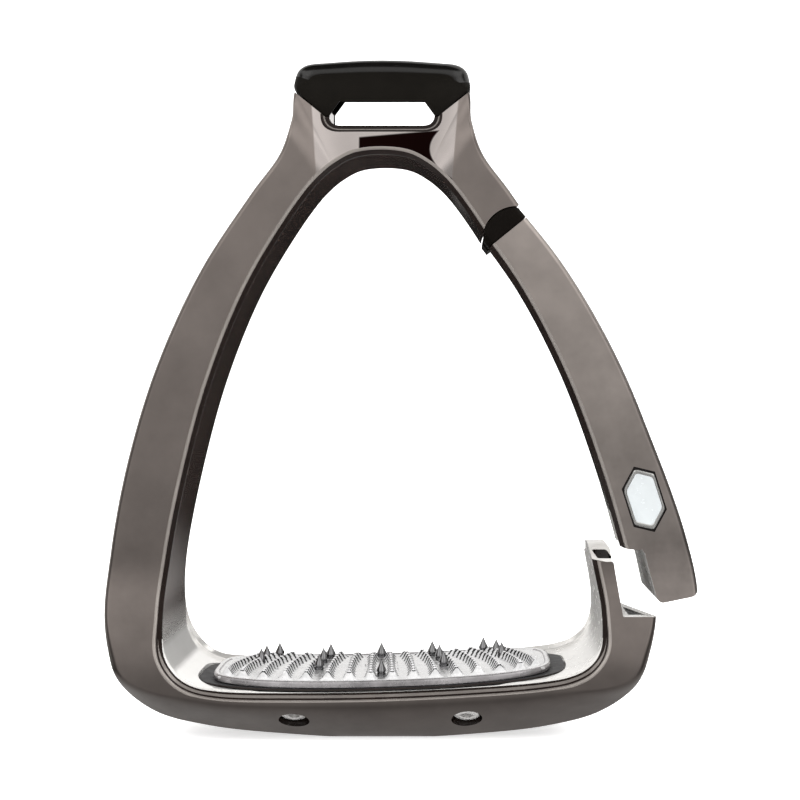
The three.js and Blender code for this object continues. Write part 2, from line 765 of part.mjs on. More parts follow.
// The arm's pieces are drawn closed, then swung out about the pivot to where they rest.
function armBody() {
  const drawn = new THREE.Group();
  drawn.add(
    releaseArm(),
    hingeCover("hinge_cover_front", -40, SLOT_Y[0]),
    hingeCover("hinge_cover_rear", SLOT_Y[1], 40),
    hingePin(),
    latchKeeper(),
    badge(),
  );
  drawn.position.set(-PIVOT.x, 0, -PIVOT.z);
  const swung = new THREE.Group();
  swung.position.set(PIVOT.x, 0, PIVOT.z);
  swung.rotation.y = -ARM_REST_ANGLE;
  swung.add(drawn);
  return swung;
}

const stirrup = new THREE.Group();
stirrup.add(frameBody(), armBody());

export default stirrup;
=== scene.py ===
import math

import bmesh
import bpy
from mathutils import Matrix, Vector


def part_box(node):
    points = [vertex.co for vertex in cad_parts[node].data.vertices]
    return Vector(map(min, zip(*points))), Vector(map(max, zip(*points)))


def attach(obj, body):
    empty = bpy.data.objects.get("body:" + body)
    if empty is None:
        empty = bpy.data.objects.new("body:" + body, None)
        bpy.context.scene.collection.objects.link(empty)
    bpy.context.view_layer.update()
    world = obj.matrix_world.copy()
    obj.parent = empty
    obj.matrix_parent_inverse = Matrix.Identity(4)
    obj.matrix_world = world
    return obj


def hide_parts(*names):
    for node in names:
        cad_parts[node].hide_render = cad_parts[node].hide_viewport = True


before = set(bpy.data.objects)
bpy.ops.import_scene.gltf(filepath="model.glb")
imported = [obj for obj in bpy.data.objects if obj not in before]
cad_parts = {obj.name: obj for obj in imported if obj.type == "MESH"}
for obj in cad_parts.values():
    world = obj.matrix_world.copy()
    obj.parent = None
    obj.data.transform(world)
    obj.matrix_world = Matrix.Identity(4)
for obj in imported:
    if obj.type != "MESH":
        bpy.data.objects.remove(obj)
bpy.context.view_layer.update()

MM = 0.001
STIRRUP, ARM = "stirrup", "arm"

# -------------------- dimensions (mm, as in the CAD)

BRANCH_DEPTH, BASE_DEPTH, EYE_DEPTH = 35, 56, 26
# The closed ring's knots in the front view: inner x and z, then outer x and z.
CROWN = (0, 164.1, 0, 189.5)
SIDE = [
    (7.5, 163.2, 16, 189.5),
    (12.5, 160.6, 24.3, 183.5),
    (15.9, 157.9, 25.4, 173.9),
    (19.6, 154.0, 28.3, 164.6),
    (27.0, 143.6, 36.6, 153.0),
    (37.4, 125.6, 50.8, 131.3),
    (47.5, 100.4, 63.3, 104.0),
    (55.0, 72.5, 71.6, 76.2),
    (59.4, 49.5, 76.2, 50.5),
]
LEFT_CORNER = [
    (60.6, 35.5, 77.0, 37.5),
    (59.6, 25.3, 75.4, 26.0),
    (55.8, 19.4, 71.6, 15.3),
    (51.2, 16.6, 63.5, 7.4),
    (44.0, 15.4, 49.0, 3.2),
    (24.0, 15.0, 24.0, 0.6),
]
RIGHT_CORNER = [
    (61.6, 36.2, 76.9, 37.0),
    (61.0, 26.6, 74.9, 26.0),
    (57.4, 21.8, 70.6, 15.3),
    (52.4, 19.4, 61.5, 7.4),
    (44.5, 18.0, 48.0, 3.3),
    (24.0, 16.4, 24.0, 0.6),
]
SOLE = (0, 15.3, 0, -0.4)
STATIONS = 416  # cross-sections round the ring
SATIN, POLISHED, PAINTED_PALE, PAINTED_DARK, PAINTED_SHINE = range(5)  # finishes of the frame and the arm, the last three painted light: a pale reflection, dark lines of shade and reflection, and highlight lines

PIVOT = (38.0, 139.7)
STUB_RADIUS = 9.75
JOINT_ANGLE = math.atan2(6.3, 9.45)
JOINT_ABOVE_PIVOT = 3.4
SLOT_Y = (-9.0, 0.0)  # the arm's fork, front to rear
PIN_BORE, PIN_HEAD_BORE, PIN_HEAD_Y, BUSH_BORE = 2.5, 4.0, 12.7, 3.9
GAP = 0.3
LEDGE_X, LEDGE_Z = 67.4, 35.0
SHOULDER_X, SHOULDER_Z = 65.2, 49.4
NOSE_SIDE = [(-19, 49.2), (-8, 54.0), (-3, 54.7), (3, 54.1), (17, 47)]
LATCH_PLACE = (62.2, -13.4, 51.5)
LATCH_WIDTH, LATCH_LENGTH = 4.2, 5.2
ARM_DRAFT, ARM_FLARE = 1.4, 2.2  # how far the arm's inner side slants and its outer side spreads
ARM_REST = math.radians(5.3)

STRAP_HALF, STRAP_FOOT, STRAP_ROOF, STRAP_RADIUS = 15, 172.6, 180.2, 3.4
BAR_HALF, BAR_TOP = 21.5, 187.2
GUARD_HALF_DEPTH = 13.5
BADGE_PLACE, BADGE_HALF = (66.9, 64.3), 5

FOOTBED_LEAN, FOOTBED_DISH = 0.028, 0.0007
PLATE_HALF_LENGTH, PLATE_HALF_DEPTH, PLATE_Y = 48.0, 25.6, -0.6
PLATE_POWER = 4  # of the superellipse that the plate's outline follows
PLATE_FOOT, PLATE_TOP, GROUND_DROP, RIB_RISE = 0.7, 2.75, 0.45, 1.7
PLATE_GROUND = PLATE_TOP - GROUND_DROP
RIB_PITCH, RIB_PAIRS, RIB_LAST, RIB_WAIST, RIB_SPREAD, EDGE_LAND = 6.0, 8, 43.4, 2.5, 2.2, 1.6
TOOTH_PITCH, TOOTH_CROWDING, TOOTH_CUT, TOOTH_STEPS, CHEVRON = 4.4, 0.45, 0.9, 8, 0.45
PATTERN_MIDDLE, PATTERN_SKEW = -0.6, -0.04
GASKET_REACH, GASKET_SIDE, GASKET_TOP = 4.2, 0.3, 0.62
SPIKES = 14


def footbed(x):
    """The height of the dished footbed."""
    return SOLE[1] + FOOTBED_LEAN * x + FOOTBED_DISH * x * x


def smoothstep(value, low, high):
    t = min(max((value - low) / (high - low), 0.0), 1.0)
    return t * t * (3 - 2 * t)


# -------------------- mesh helpers

def add_object(name, points, faces, materials, indices=None, smooth_angle=30):
    """A mesh object from points in millimetres."""
    mesh = bpy.data.meshes.new(name)
    mesh.from_pydata([tuple(c * MM for c in p) for p in points], [], faces)
    for item in materials:
        mesh.materials.append(item)
    if indices is not None:
        mesh.polygons.foreach_set("material_index", indices)
    mesh.update()
    made = bpy.data.objects.new(name, mesh)
    bpy.context.scene.collection.objects.link(made)
    if smooth_angle:
        shade(made, smooth_angle)
    return made


def shade(piece, angle):
    piece.data.shade_smooth()
    piece.data.set_sharp_from_angle(angle=math.radians(angle))


def skin(count, rows):
    """The faces of a closed solid made of rows of points: its two ends, then the strips between."""
    faces = [tuple(range(count))[::-1], tuple(range((rows - 1) * count, rows * count))]
    for k in range(rows - 1):
        for i in range(count):
            j = (i + 1) % count
            faces.append((k * count + i, k * count + j, (k + 1) * count + j, (k + 1) * count + i))
    return faces


def prism(outline, low, high, place, index=0, materials=()):
    """A closed prism. place turns (a, b, height) into x, y, z."""
    points = [place(a, b, height) for height in (low, high) for a, b in outline]
    faces = skin(len(outline), 2)
    made = add_object("tool", points, faces, materials, [index] * len(faces), smooth_angle=0)
    fix_normals(made)
    return made


def fix_normals(piece):
    """Turns the faces of a closed mesh outwards."""
    work = bmesh.new()
    work.from_mesh(piece.data)
    bmesh.ops.recalc_face_normals(work, faces=work.faces)
    work.to_mesh(piece.data)
    work.free()


def through_y(outline, low=-40, high=40, **extra):
    return prism(outline, low, high, lambda x, z, y: (x, y, z), **extra)


def through_x(outline, low, high, **extra):
    return prism(outline, low, high, lambda y, z, x: (x, y, z), **extra)


def through_z(outline, low, high, **extra):
    return prism(outline, low, high, lambda x, y, z: (x, y, z), **extra)


def circle(centre, radius, sides=72):
    turns = [2 * math.pi * i / sides for i in range(sides)]
    return [(centre[0] + radius * math.cos(t), centre[1] + radius * math.sin(t)) for t in turns]


def rod(start, end, radius, sides=40, **extra):
    """A closed cylinder between two points in millimetres."""
    start, end = Vector(start), Vector(end)
    turn = (end - start).to_track_quat("Z", "Y")
    length = (end - start).length

    def place(a, b, height):
        return tuple(start + turn @ Vector((a, b, height)))

    return prism(circle((0, 0), radius, sides), 0, length, place, **extra)


def combine(target, tool, operation="DIFFERENCE"):
    """Cuts, joins or intersects the target with a tool, which is used up."""
    modifier = target.modifiers.new("cut", "BOOLEAN")
    modifier.operation = operation
    modifier.solver = "MANIFOLD"
    modifier.object = tool
    graph = bpy.context.evaluated_depsgraph_get()
    result = bpy.data.meshes.new_from_object(target.evaluated_get(graph), depsgraph=graph)
    target.modifiers.clear()
    old = target.data
    target.data = result
    bpy.data.meshes.remove(old)
    used = tool.data
    bpy.data.objects.remove(tool)
    bpy.data.meshes.remove(used)
    return target


def turned(profile, place, segments=48, hexed=(), name="turned", materials=()):
    """A lathe about the local Z axis, from the axis back to the axis. hexed rows are six-sided."""
    inner = len(profile) - 2
    points, faces = [], []
    for i in range(segments):
        angle = 2 * math.pi * i / segments
        for k, (radius, height) in enumerate(profile[1:-1], start=1):
            if k in hexed:
                sector = (angle % (math.pi / 3)) - math.pi / 6
                radius *= math.cos(math.pi / 6) / math.cos(sector)
            points.append(place(radius * math.cos(angle), radius * math.sin(angle), height))
    low, high = len(points), len(points) + 1
    points += [place(0, 0, profile[0][1]), place(0, 0, profile[-1][1])]
    for i in range(segments):
        j = (i + 1) % segments
        faces.append((low, j * inner, i * inner))
        faces.append((high, i * inner + inner - 1, j * inner + inner - 1))
        for k in range(inner - 1):
            faces.append((i * inner + k, j * inner + k, j * inner + k + 1, i * inner + k + 1))
    made = add_object(name, points, faces, materials, smooth_angle=0)
    fix_normals(made)
    shade(made, 35)
    return made


# -------------------- the closed ring

def catmull_rom(knots, count):
    """Points on a closed centripetal spline through the knots."""
    knots = [Vector(k) for k in knots]
    total = len(knots)
    made = []
    for i in range(count):
        at = i / count * total
        whole = int(at)
        w = at - whole
        p = [knots[(whole + k) % total] for k in (-1, 0, 1, 2)]
        gaps = [math.sqrt((p[k + 1] - p[k]).length) for k in range(3)]
        enter = (p[1] - p[0]) / gaps[0] - (p[2] - p[0]) / (gaps[0] + gaps[1]) + (p[2] - p[1]) / gaps[1]
        leave = (p[2] - p[1]) / gaps[1] - (p[3] - p[1]) / (gaps[1] + gaps[2]) + (p[3] - p[2]) / gaps[2]
        enter, leave = enter * gaps[1], leave * gaps[1]
        cubic = 2 * p[1] - 2 * p[2] + enter + leave
        square = -3 * p[1] + 3 * p[2] - 2 * enter - leave
        made.append(p[1] + enter * w + square * w * w + cubic * w ** 3)
    return made


def half_depth(z):
    """Half the ring's depth front to rear at a height."""
    flare = 1 - smoothstep(z, 16, 52)
    taper = smoothstep(z, 168, 181)
    return (BRANCH_DEPTH + (BASE_DEPTH - BRANCH_DEPTH) * flare - (BRANCH_DEPTH - EYE_DEPTH) * taper) / 2


def rounded(corners, steps=4):
    """An outline with each corner (x, y, reach) rounded; a reach of 0 leaves it sharp."""
    made = []
    count = len(corners)
    for i, (x, y, reach) in enumerate(corners):
        here = Vector((x, y))
        if not reach:
            made.append(here)
            continue
        before = Vector(corners[i - 1][:2]) - here
        after = Vector(corners[(i + 1) % count][:2]) - here
        a = before.normalized() * min(reach, before.length * 0.48)
        b = after.normalized() * min(reach, after.length * 0.48)
        for k in range(steps + 1):
            t = k / steps
            made.append(here + a * (1 - t) ** 2 + b * t * t)
    return [tuple(p) for p in made]


def bezier(points, t):
    """A point on the cubic curve through four control points."""
    a, b, c, d = points
    u = 1 - t
    return a * u ** 3 + b * 3 * u * u * t + c * 3 * u * t * t + d * t ** 3


def ring_section(inner, outer, draft):
    """One cross-section: its points, and the finish of the strip that starts at each of them; some strips on
    the chamfer and the outer edge are painted highlight lines and painted dark lines.
    """
    across = outer - inner
    width = across.length
    across = across / width
    base = 1 - smoothstep(inner[1], 19, 35)  # 1 along the base, 0 up the branches
    middle = 1 - smoothstep(outer[1], 2.5, 22)  # 1 in the middle of the base
    high = smoothstep(outer[1], 115, 145)  # 1 round the top of the arch
    chamfer = 1.5 + 1.1 * base
    slant = 10 - 6 * high
    round_across = 1.5 + (1.5 + (width - chamfer - 3.5) * middle) * base
    round_deep = 1.5 + (2.5 + 11 * middle) * base
    land_end = 0.5 + 20.5 * base
    rim = 1.8 * base
    is_base = base > 0.3
    # a painted dark line along the outer rounded edge of the branches; on the base the satin runs on
    edge = SATIN if is_base else PAINTED_DARK
    # the chamfer's inner lip: a painted pale highlight line on the base, a painted dark line on the branches
    lip = PAINTED_PALE if is_base else PAINTED_DARK
    # the chamfer's middle band: a painted highlight on the base, painted dark on the branches
    painted_band = PAINTED_SHINE if is_base else PAINTED_DARK
    grow = smoothstep(base, 0.3, 0.9)
    painted_lip_end = 0.05 + 0.17 * grow
    painted_band_half = 0.01 + 0.12 * grow
    is_beside_post = inner[0] > 40 and inner[1] < 60
    # beside the post the inner walls get the painted pale reflection
    inside = PAINTED_PALE if is_beside_post else POLISHED

    def at(u, from_front=None, from_rear=None):
        flat = inner + across * u
        half = half_depth(flat[1])
        y = from_front - half if from_front is not None else half - from_rear
        return Vector((flat[0], y, max(flat[1], 0.0)))

    sweep = [
        Vector((width - round_across, 0)),
        Vector((width - round_across + 0.8 + (1.2 + 0.6 * middle) * base, 0)),
        Vector((width - 4.3 * base * middle, round_deep - 0.8 - (1.0 + 4.9 * middle) * base)),
        Vector((width, round_deep)),
    ]

    def on_chamfer(share):
        return at(chamfer * share, chamfer * (1 - share))

    # A corner is its place, the reach and finish of its rounding, and the finish of the strip after it.
    corners = [
        # the chamfer's strips: painted highlight lines and painted dark bands, then a painted highlight where
        # it meets the satin
        (on_chamfer(0), 0.45, lip, lip),
        (on_chamfer(painted_lip_end), 0, None, PAINTED_DARK),
        (on_chamfer(0.55 - painted_band_half), 0, None, painted_band),
        (on_chamfer(0.55 + painted_band_half), 0, None, PAINTED_DARK),
        (on_chamfer(1), 0.40, PAINTED_SHINE, SATIN),
    ]
    for k in range(17):
        u, s = bezier(sweep, k / 16)
        corners.append((at(u, s), 0, None, edge if k > 10 else SATIN))
    corners += [
        (at(width, round_deep + land_end), 1.6, SATIN, SATIN),
        (at(width - slant, from_rear=0), 1.0, SATIN, SATIN),
        (at(0.8 + draft, from_rear=0), 0.3, SATIN, inside),
        (at(draft - rim, from_rear=0.8), 0.3, inside, inside),
        (at(draft * 0.95, from_rear=2.2), 0.4, inside, inside),
    ]
    points, zones = [], []
    for i, (here, reach, at_corner, after) in enumerate(corners):
        if not reach:
            points.append(here)
            zones.append(after)
            continue
        back = corners[i - 1][0] - here
        ahead = corners[(i + 1) % len(corners)][0] - here
        a = back.normalized() * min(reach, back.length * 0.3)
        b = ahead.normalized() * min(reach, ahead.length * 0.3)
        points.append(here + a * 1.5)
        zones.append(at_corner)
        for k in range(5):
            t = k / 4
            points.append(here + a * (1 - t) ** 2 + b * t * t)
            zones.append(at_corner)
        points.append(here + b * 1.5)
        zones.append(after)
    return points, zones


def ring(name, materials, draft=0.0, flare=0.0):
    """The whole closed ring, from the eye down both branches and along the base."""
    mirrored = [(-a, b, -c, d) for a, b, c, d in SIDE + LEFT_CORNER]
    knots = [CROWN, *mirrored, SOLE, *(SIDE + RIGHT_CORNER)[::-1]]
    inner = catmull_rom([k[:2] for k in knots], STATIONS)
    outer = catmull_rom([k[2:] for k in knots], STATIONS)
    for rim in outer:
        rim[0] += math.copysign(flare * (1 - smoothstep(rim[1], 40, 88)), rim[0])
    sections = [ring_section(a, b, draft) for a, b in zip(inner, outer)]
    count = len(sections[0][0])
    points = [p for section, _ in sections for p in section]
    faces, indices = [], []
    for i in range(STATIONS):
        here, after = i * count, ((i + 1) % STATIONS) * count
        for j in range(count):
            k = (j + 1) % count
            faces.append((here + j, here + k, after + k, after + j))
            indices.append(sections[i][1][j])
    return add_object(name, points, faces, materials, indices)


# -------------------- materials

class Nodes:
    """A small helper that builds the node tree of a material or of the world."""

    def __init__(self, owner, coordinates):
        owner.use_nodes = True
        self.tree = owner.node_tree
        self.where = self.add("ShaderNodeTexCoord").outputs[coordinates]

    def add(self, kind, **values):
        node = self.tree.nodes.new(kind)
        for key, value in values.items():
            setattr(node, key, value)
        return node

    def link(self, a, b):
        self.tree.links.new(a, b)

    def split(self, source):
        node = self.add("ShaderNodeSeparateXYZ")
        self.link(source, node.inputs[0])
        return node.outputs

    def noise(self, scale, detail=4.0):
        node = self.add("ShaderNodeTexNoise")
        node.inputs["Scale"].default_value = scale
        node.inputs["Detail"].default_value = detail
        node.inputs["Roughness"].default_value = 0.6
        self.link(self.where, node.inputs["Vector"])
        return node.outputs["Fac"]

    def ramp(self, source, low, high, start=0.3, end=0.7):
        """Goes from low to high while the source goes from start to end."""
        node = self.add("ShaderNodeMapRange")
        node.inputs["From Min"].default_value = start
        node.inputs["From Max"].default_value = end
        node.inputs["To Min"].default_value = low
        node.inputs["To Max"].default_value = high
        self.link(source, node.inputs["Value"])
        return node.outputs["Result"]

    def math(self, operation, a, b=None):
        node = self.add("ShaderNodeMath", operation=operation)
        for socket, value in zip(node.inputs, (a, b)):
            if value is None:
                continue
            if isinstance(value, (int, float)):
                socket.default_value = value
            else:
                self.link(value, socket)
        return node.outputs[0]

    def mix(self, factor, a, b):
        """Mixes two colours, each of them three numbers or a socket."""
        node = self.add("ShaderNodeMix", data_type="RGBA")
        self.link(factor, node.inputs["Factor"])
        inputs = [socket for socket in node.inputs if socket.type == "RGBA"]
        for socket, value in zip(inputs, (a, b)):
            if isinstance(value, tuple):
                socket.default_value = (*value, 1)
            else:
                self.link(value, socket)
        return next(socket for socket in node.outputs if socket.type == "RGBA")


class Finish(Nodes):
    """A material with its shader."""

    def __init__(self, name):
        self.material = bpy.data.materials.new(name)
        super().__init__(self.material, "Object")
        self.shader = self.tree.nodes["Principled BSDF"]

    def bump(self, source, distance):
        """A relief, its depth in millimetres."""
        node = self.add("ShaderNodeBump")
        node.inputs["Distance"].default_value = distance * MM
        node.inputs["Strength"].default_value = 1.0
        self.link(source, node.inputs["Height"])
        self.link(node.outputs["Normal"], self.shader.inputs["Normal"])


def shades(color, spread):
    """A darker and a lighter shade of a colour."""
    return tuple(c * (1 - spread) for c in color), tuple(min(1, c * (1 + spread)) for c in color)


def surface(name, color, roughness, uneven, metallic=0.0, spread=0.2, tone=120.0, grain=2600.0,
            bump=0.003, specular=0.5):
    """A general finish: mottled colour, uneven roughness and a fine grain."""
    n = Finish(name)
    dark, light = shades(color, spread)
    mottle = n.ramp(n.noise(tone, 5.0), 0.0, 1.0)
    n.link(n.mix(mottle, dark, light), n.shader.inputs["Base Color"])
    patches = n.noise(tone * 3.1)
    n.link(n.ramp(patches, roughness - uneven, roughness + uneven), n.shader.inputs["Roughness"])
    n.bump(n.noise(grain, 3.0), bump)
    n.shader.inputs["Metallic"].default_value = metallic
    n.shader.inputs["Specular IOR Level"].default_value = specular
    return n.material


def neck_polish_and_painted_reflections(n):
    """Masks for the polished zone under the slot, which gets a painted bright reflection, and for the painted
    dark reflection patch in it.
    """
    x, y, z = n.split(n.where)
    sharp = 0.0002  # how soft a mask's edge is, in metres like all the places here
    zone_middle, zone_foot, zone_half, half_at, spreading = 0.0009, 0.1536, 0.0192, 0.160, 0.08
    # the outline of the painted dark reflection patch
    dark_patch_left, dark_patch_right, bulge_at, bulging = 0.0062, 0.0137, 0.1655, 90.0
    dark_patch_roof, roof_lean = 0.1694, 0.09

    def inside(distance):
        return n.ramp(distance, 0.0, 1.0, -sharp, sharp)

    ahead = n.ramp(y, 1.0, 0.0, -0.0090, -0.0088)
    spread = n.math("MULTIPLY", n.math("SUBTRACT", z, half_at), spreading)
    half_width = n.math("ADD", spread, zone_half)
    off_middle = n.math("ABSOLUTE", n.math("SUBTRACT", x, zone_middle))
    zone = inside(n.math("SUBTRACT", half_width, off_middle))
    zone = n.math("MULTIPLY", n.math("MULTIPLY", zone, ahead), inside(n.math("SUBTRACT", z, zone_foot)))
    left = inside(n.math("ADD", x, dark_patch_left))
    rise = n.math("SUBTRACT", z, bulge_at)
    bulge = n.math("MULTIPLY", n.math("MULTIPLY", rise, rise), bulging)
    right = inside(n.math("SUBTRACT", n.math("ADD", bulge, dark_patch_right), x))
    roof_here = n.math("ADD", n.math("MULTIPLY", x, roof_lean), dark_patch_roof)
    roof = inside(n.math("SUBTRACT", roof_here, z))
    painted_dark_reflection = n.math("MULTIPLY", n.math("MULTIPLY", left, right), n.math("MULTIPLY", roof, zone))
    return zone, painted_dark_reflection


def satin_metal(name, color, neck=False, painted_light_spread=0.05):
    """Bead-blasted, tinted metal, lighter towards the top as painted light and darker at the foot as painted
    shade.
    neck adds the polished zone between the slot and the arch, painted with a bright reflection, and a painted
    dark reflection patch in it."""
    painted_light_from, painted_light_to, painted_shade_to, painted_shade_tone, neck_roughness = 0.04, 0.14, 0.075, 0.76, 0.17
    n = Finish(name)
    dark, light = shades(color, painted_light_spread)
    height = n.split(n.where)["Z"]
    mottle = n.ramp(n.noise(55.0), 0.0, 0.4)
    # painted light: the colour grows lighter with height
    mottle = n.math("ADD", mottle, n.ramp(height, 0.0, 0.6, painted_light_from, painted_light_to))
    grain = n.noise(5200.0, 2.0)
    roughness = n.ramp(n.noise(160.0), 0.36, 0.42)
    tint = n.mix(mottle, dark, light)
    if neck:
        zone, painted_dark_reflection = neck_polish_and_painted_reflections(n)
        smooth = n.math("SUBTRACT", 1.0, zone)
        in_neck = n.math("MULTIPLY", zone, neck_roughness)
        roughness = n.math("ADD", n.math("MULTIPLY", roughness, smooth), in_neck)
        grain = n.math("MULTIPLY", grain, smooth)
        # the polished zone gets a lighter colour: a painted bright reflection
        tint = n.mix(zone, tint, n.mix(mottle, (0.33, 0.30, 0.285), (0.44, 0.405, 0.39)))
        # the painted dark reflection patch
        tint = n.mix(painted_dark_reflection, tint, n.mix(mottle, (0.0035, 0.0012, 0.0010), (0.006, 0.002, 0.0018)))
    # painted shade: the colour darkens towards the foot
    low = n.ramp(height, painted_shade_tone, 1.0, 0.0, painted_shade_to)
    shaded = n.add("ShaderNodeVectorMath", operation="SCALE")
    n.link(tint, shaded.inputs[0])
    n.link(low, shaded.inputs["Scale"])
    n.link(shaded.outputs[0], n.shader.inputs["Base Color"])
    n.link(roughness, n.shader.inputs["Roughness"])
    n.bump(grain, 0.006)
    n.shader.inputs["Metallic"].default_value = 1.0
    return n.material


def polished_metal():
    """Mirror finish: dark brown on the branches, and a pale steel colour on the footbed and beside the post
    that is a painted reflection.
    """
    painted_reflection_below, brown_above, lean = 0.044, 0.056, 0.3
    n = Finish("polished_gunmetal")
    x, _, z = n.split(n.where)
    height = n.math("SUBTRACT", z, n.math("MULTIPLY", x, lean))
    # painted pale reflection low down, on the footbed and beside the post, with less metallic there
    painted_reflection_mask = n.ramp(height, 1.0, 0.0, painted_reflection_below, brown_above)
    mottle = n.ramp(n.noise(40.0, 5.0), 0.0, 1.0)
    brown = n.mix(mottle, (0.108, 0.070, 0.057), (0.128, 0.084, 0.069))
    painted_reflection_tint = n.mix(mottle, (0.70, 0.69, 0.67), (0.76, 0.75, 0.73))
    n.link(n.mix(painted_reflection_mask, brown, painted_reflection_tint), n.shader.inputs["Base Color"])
    n.link(n.ramp(painted_reflection_mask, 0.85, 0.45, 0.0, 1.0), n.shader.inputs["Metallic"])
    n.link(n.ramp(n.noise(130.0), 0.04, 0.08), n.shader.inputs["Roughness"])
    n.bump(n.noise(900.0, 3.0), 0.002)
    return n.material


GUNMETAL = (0.235, 0.206, 0.191)
satin = satin_metal("satin_gunmetal", GUNMETAL, neck=True, painted_light_spread=0.28)
# the arm: a lighter gunmetal, with a stronger painted light towards the top
satin_arm = satin_metal("satin_gunmetal_arm", (0.35, 0.313, 0.292), painted_light_spread=0.5)
polished = polished_metal()
# painted pale reflection: a pale, half-metallic steel colour on bright strips, on the post's end and on the
# walls beside it
painted_pale_reflection = surface(
    "painted_pale_reflection", (0.66, 0.65, 0.63), 0.25, 0.04, metallic=0.35, spread=0.04, grain=2500)
# painted highlight: a light brown-grey for bright lines along the edges
painted_edge_shine = surface(
    "painted_edge_shine", (0.22, 0.20, 0.185), 0.20, 0.04, metallic=0.5, spread=0.10, grain=2500)
# painted dark: near-black lines of shade in recesses and bores, and of dark reflection along the chamfers and
# edges
painted_dark_edge = surface("painted_dark_edge", (0.010, 0.007, 0.006), 0.20, 0.04, grain=2500, specular=0.25)
guard_black = surface(
    "guard_black", (0.0042, 0.0036, 0.0028), 0.45, 0.06, spread=0.15, grain=3800, bump=0.02, specular=0.05)
guard_gloss = surface("guard_gloss", (0.0030, 0.0028, 0.0025), 0.16, 0.03, bump=0.004, specular=0.4)
cover_black = surface(
    "cover_black", (0.0030, 0.0022, 0.0016), 0.45, 0.08, tone=160, grain=3000, bump=0.02, specular=0.06)
rubber_grey = surface("rubber_grey", (0.019, 0.019, 0.020), 0.62, 0.08, tone=150, bump=0.03)
magnet_black = surface("magnet_black", (0.004, 0.003, 0.0025), 0.30, 0.05, tone=300, bump=0.004, specular=0.1)
fastener = surface(
    "fastener_steel", (0.62, 0.61, 0.60), 0.30, 0.08, metallic=0.7, spread=0.12, tone=500, bump=0.006,
    grain=3500)
bronze = surface(
    "bush_bronze", (0.42, 0.26, 0.10), 0.34, 0.08, metallic=1.0, spread=0.12, tone=400, grain=3500,
    bump=0.006)
badge_silver = surface(
    "badge_silver", (0.44, 0.465, 0.475), 0.24, 0.05, metallic=0.15, spread=0.03, tone=240, grain=3000)
badge_rim = surface(
    "badge_rim", (0.40, 0.40, 0.39), 0.20, 0.05, metallic=0.9, spread=0.05, tone=240, grain=3000)
tread_silver = surface(
    "tread_silver", (0.72, 0.72, 0.725), 0.28, 0.08, metallic=0.9, spread=0.06, tone=200)
# painted shade: a darker grey for the plate's upright edge
tread_rim_shade = surface("tread_rim_shade", (0.27, 0.26, 0.265), 0.30, 0.10, metallic=0.6, spread=0.35, tone=150)
tread_tooth = surface(
    "tread_tooth", (0.62, 0.62, 0.625), 0.34, 0.08, metallic=0.3, spread=0.10, tone=260, bump=0.004)
# painted shade: near-black on the faces in the teeth's grooves
tread_groove_shade = surface(
    "tread_groove_shade", (0.012, 0.012, 0.013), 0.60, 0.10, spread=0.15, tone=260, bump=0.004, specular=0.2)
spike_chrome = surface(
    "spike_chrome", (0.19, 0.19, 0.195), 0.13, 0.05, metallic=1.0, spread=0.10, tone=700, grain=4000,
    bump=0.004)
METALS = [satin, polished, painted_pale_reflection, painted_dark_edge, painted_edge_shine]
ARM_METALS = [satin_arm, polished, painted_pale_reflection, painted_dark_edge, painted_edge_shine]
TREAD_GROUND, TREAD_TOOTH, TREAD_GROOVE_SHADE = range(3)  # finishes of the ribs; the groove's near-black is painted shade
TREAD_METALS = [tread_silver, tread_tooth, tread_groove_shade]


# -------------------- outlines shared by the cuts

def from_joint(along, above):
    """A place in the front view, from the pivot along the slanting joint line and above it."""
    c, s = math.cos(JOINT_ANGLE), math.sin(JOINT_ANGLE)
    return (PIVOT[0] + along * c - above * s, PIVOT[1] + along * s + above * c)


def arm_outline():
    """The room that the frame leaves for the arm."""
    return [
        from_joint(-14, JOINT_ABOVE_PIVOT),
        from_joint(16, JOINT_ABOVE_PIVOT),
        (95, 152),
        (95, LEDGE_Z),
        (LEDGE_X, LEDGE_Z),
        (SHOULDER_X, SHOULDER_Z),
        (55, 51.2),
        (45, 57),
    ]


def rounded_arm_outline(margin):
    """The arm's own outline: its two lower corners and the notch are rounded."""
    foot, shoulder = LEDGE_Z + margin, SHOULDER_Z + margin
    corners = [
        (*from_joint(-14, JOINT_ABOVE_PIVOT + 5), 0),
        (*from_joint(16, JOINT_ABOVE_PIVOT + 5), 0),
        (95, 152, 0),
        (84, 76, 0),
        (79.6, 50, 0),
        (79.1, foot + 1.2, 2.2),
        (LEDGE_X + margin, foot, 1.8),
        (SHOULDER_X + margin, shoulder + 0.2, 1.2),
        (60.4, 50.6 + margin, 1.0),
        (55, 54, 0),
        (45, 57, 0),
    ]
    return rounded(corners, 5)


def cap_outline():
    """The room above the joint line that the hinge covers take."""
    return [
        from_joint(-14, JOINT_ABOVE_PIVOT - 0.5),
        (PIVOT[0] - STUB_RADIUS, PIVOT[1]),
        (PIVOT[0], PIVOT[1] + STUB_RADIUS),
        (PIVOT[0] + 20, PIVOT[1] + 26),
        (96, 153),
        from_joint(16, JOINT_ABOVE_PIVOT - 0.5),
    ]


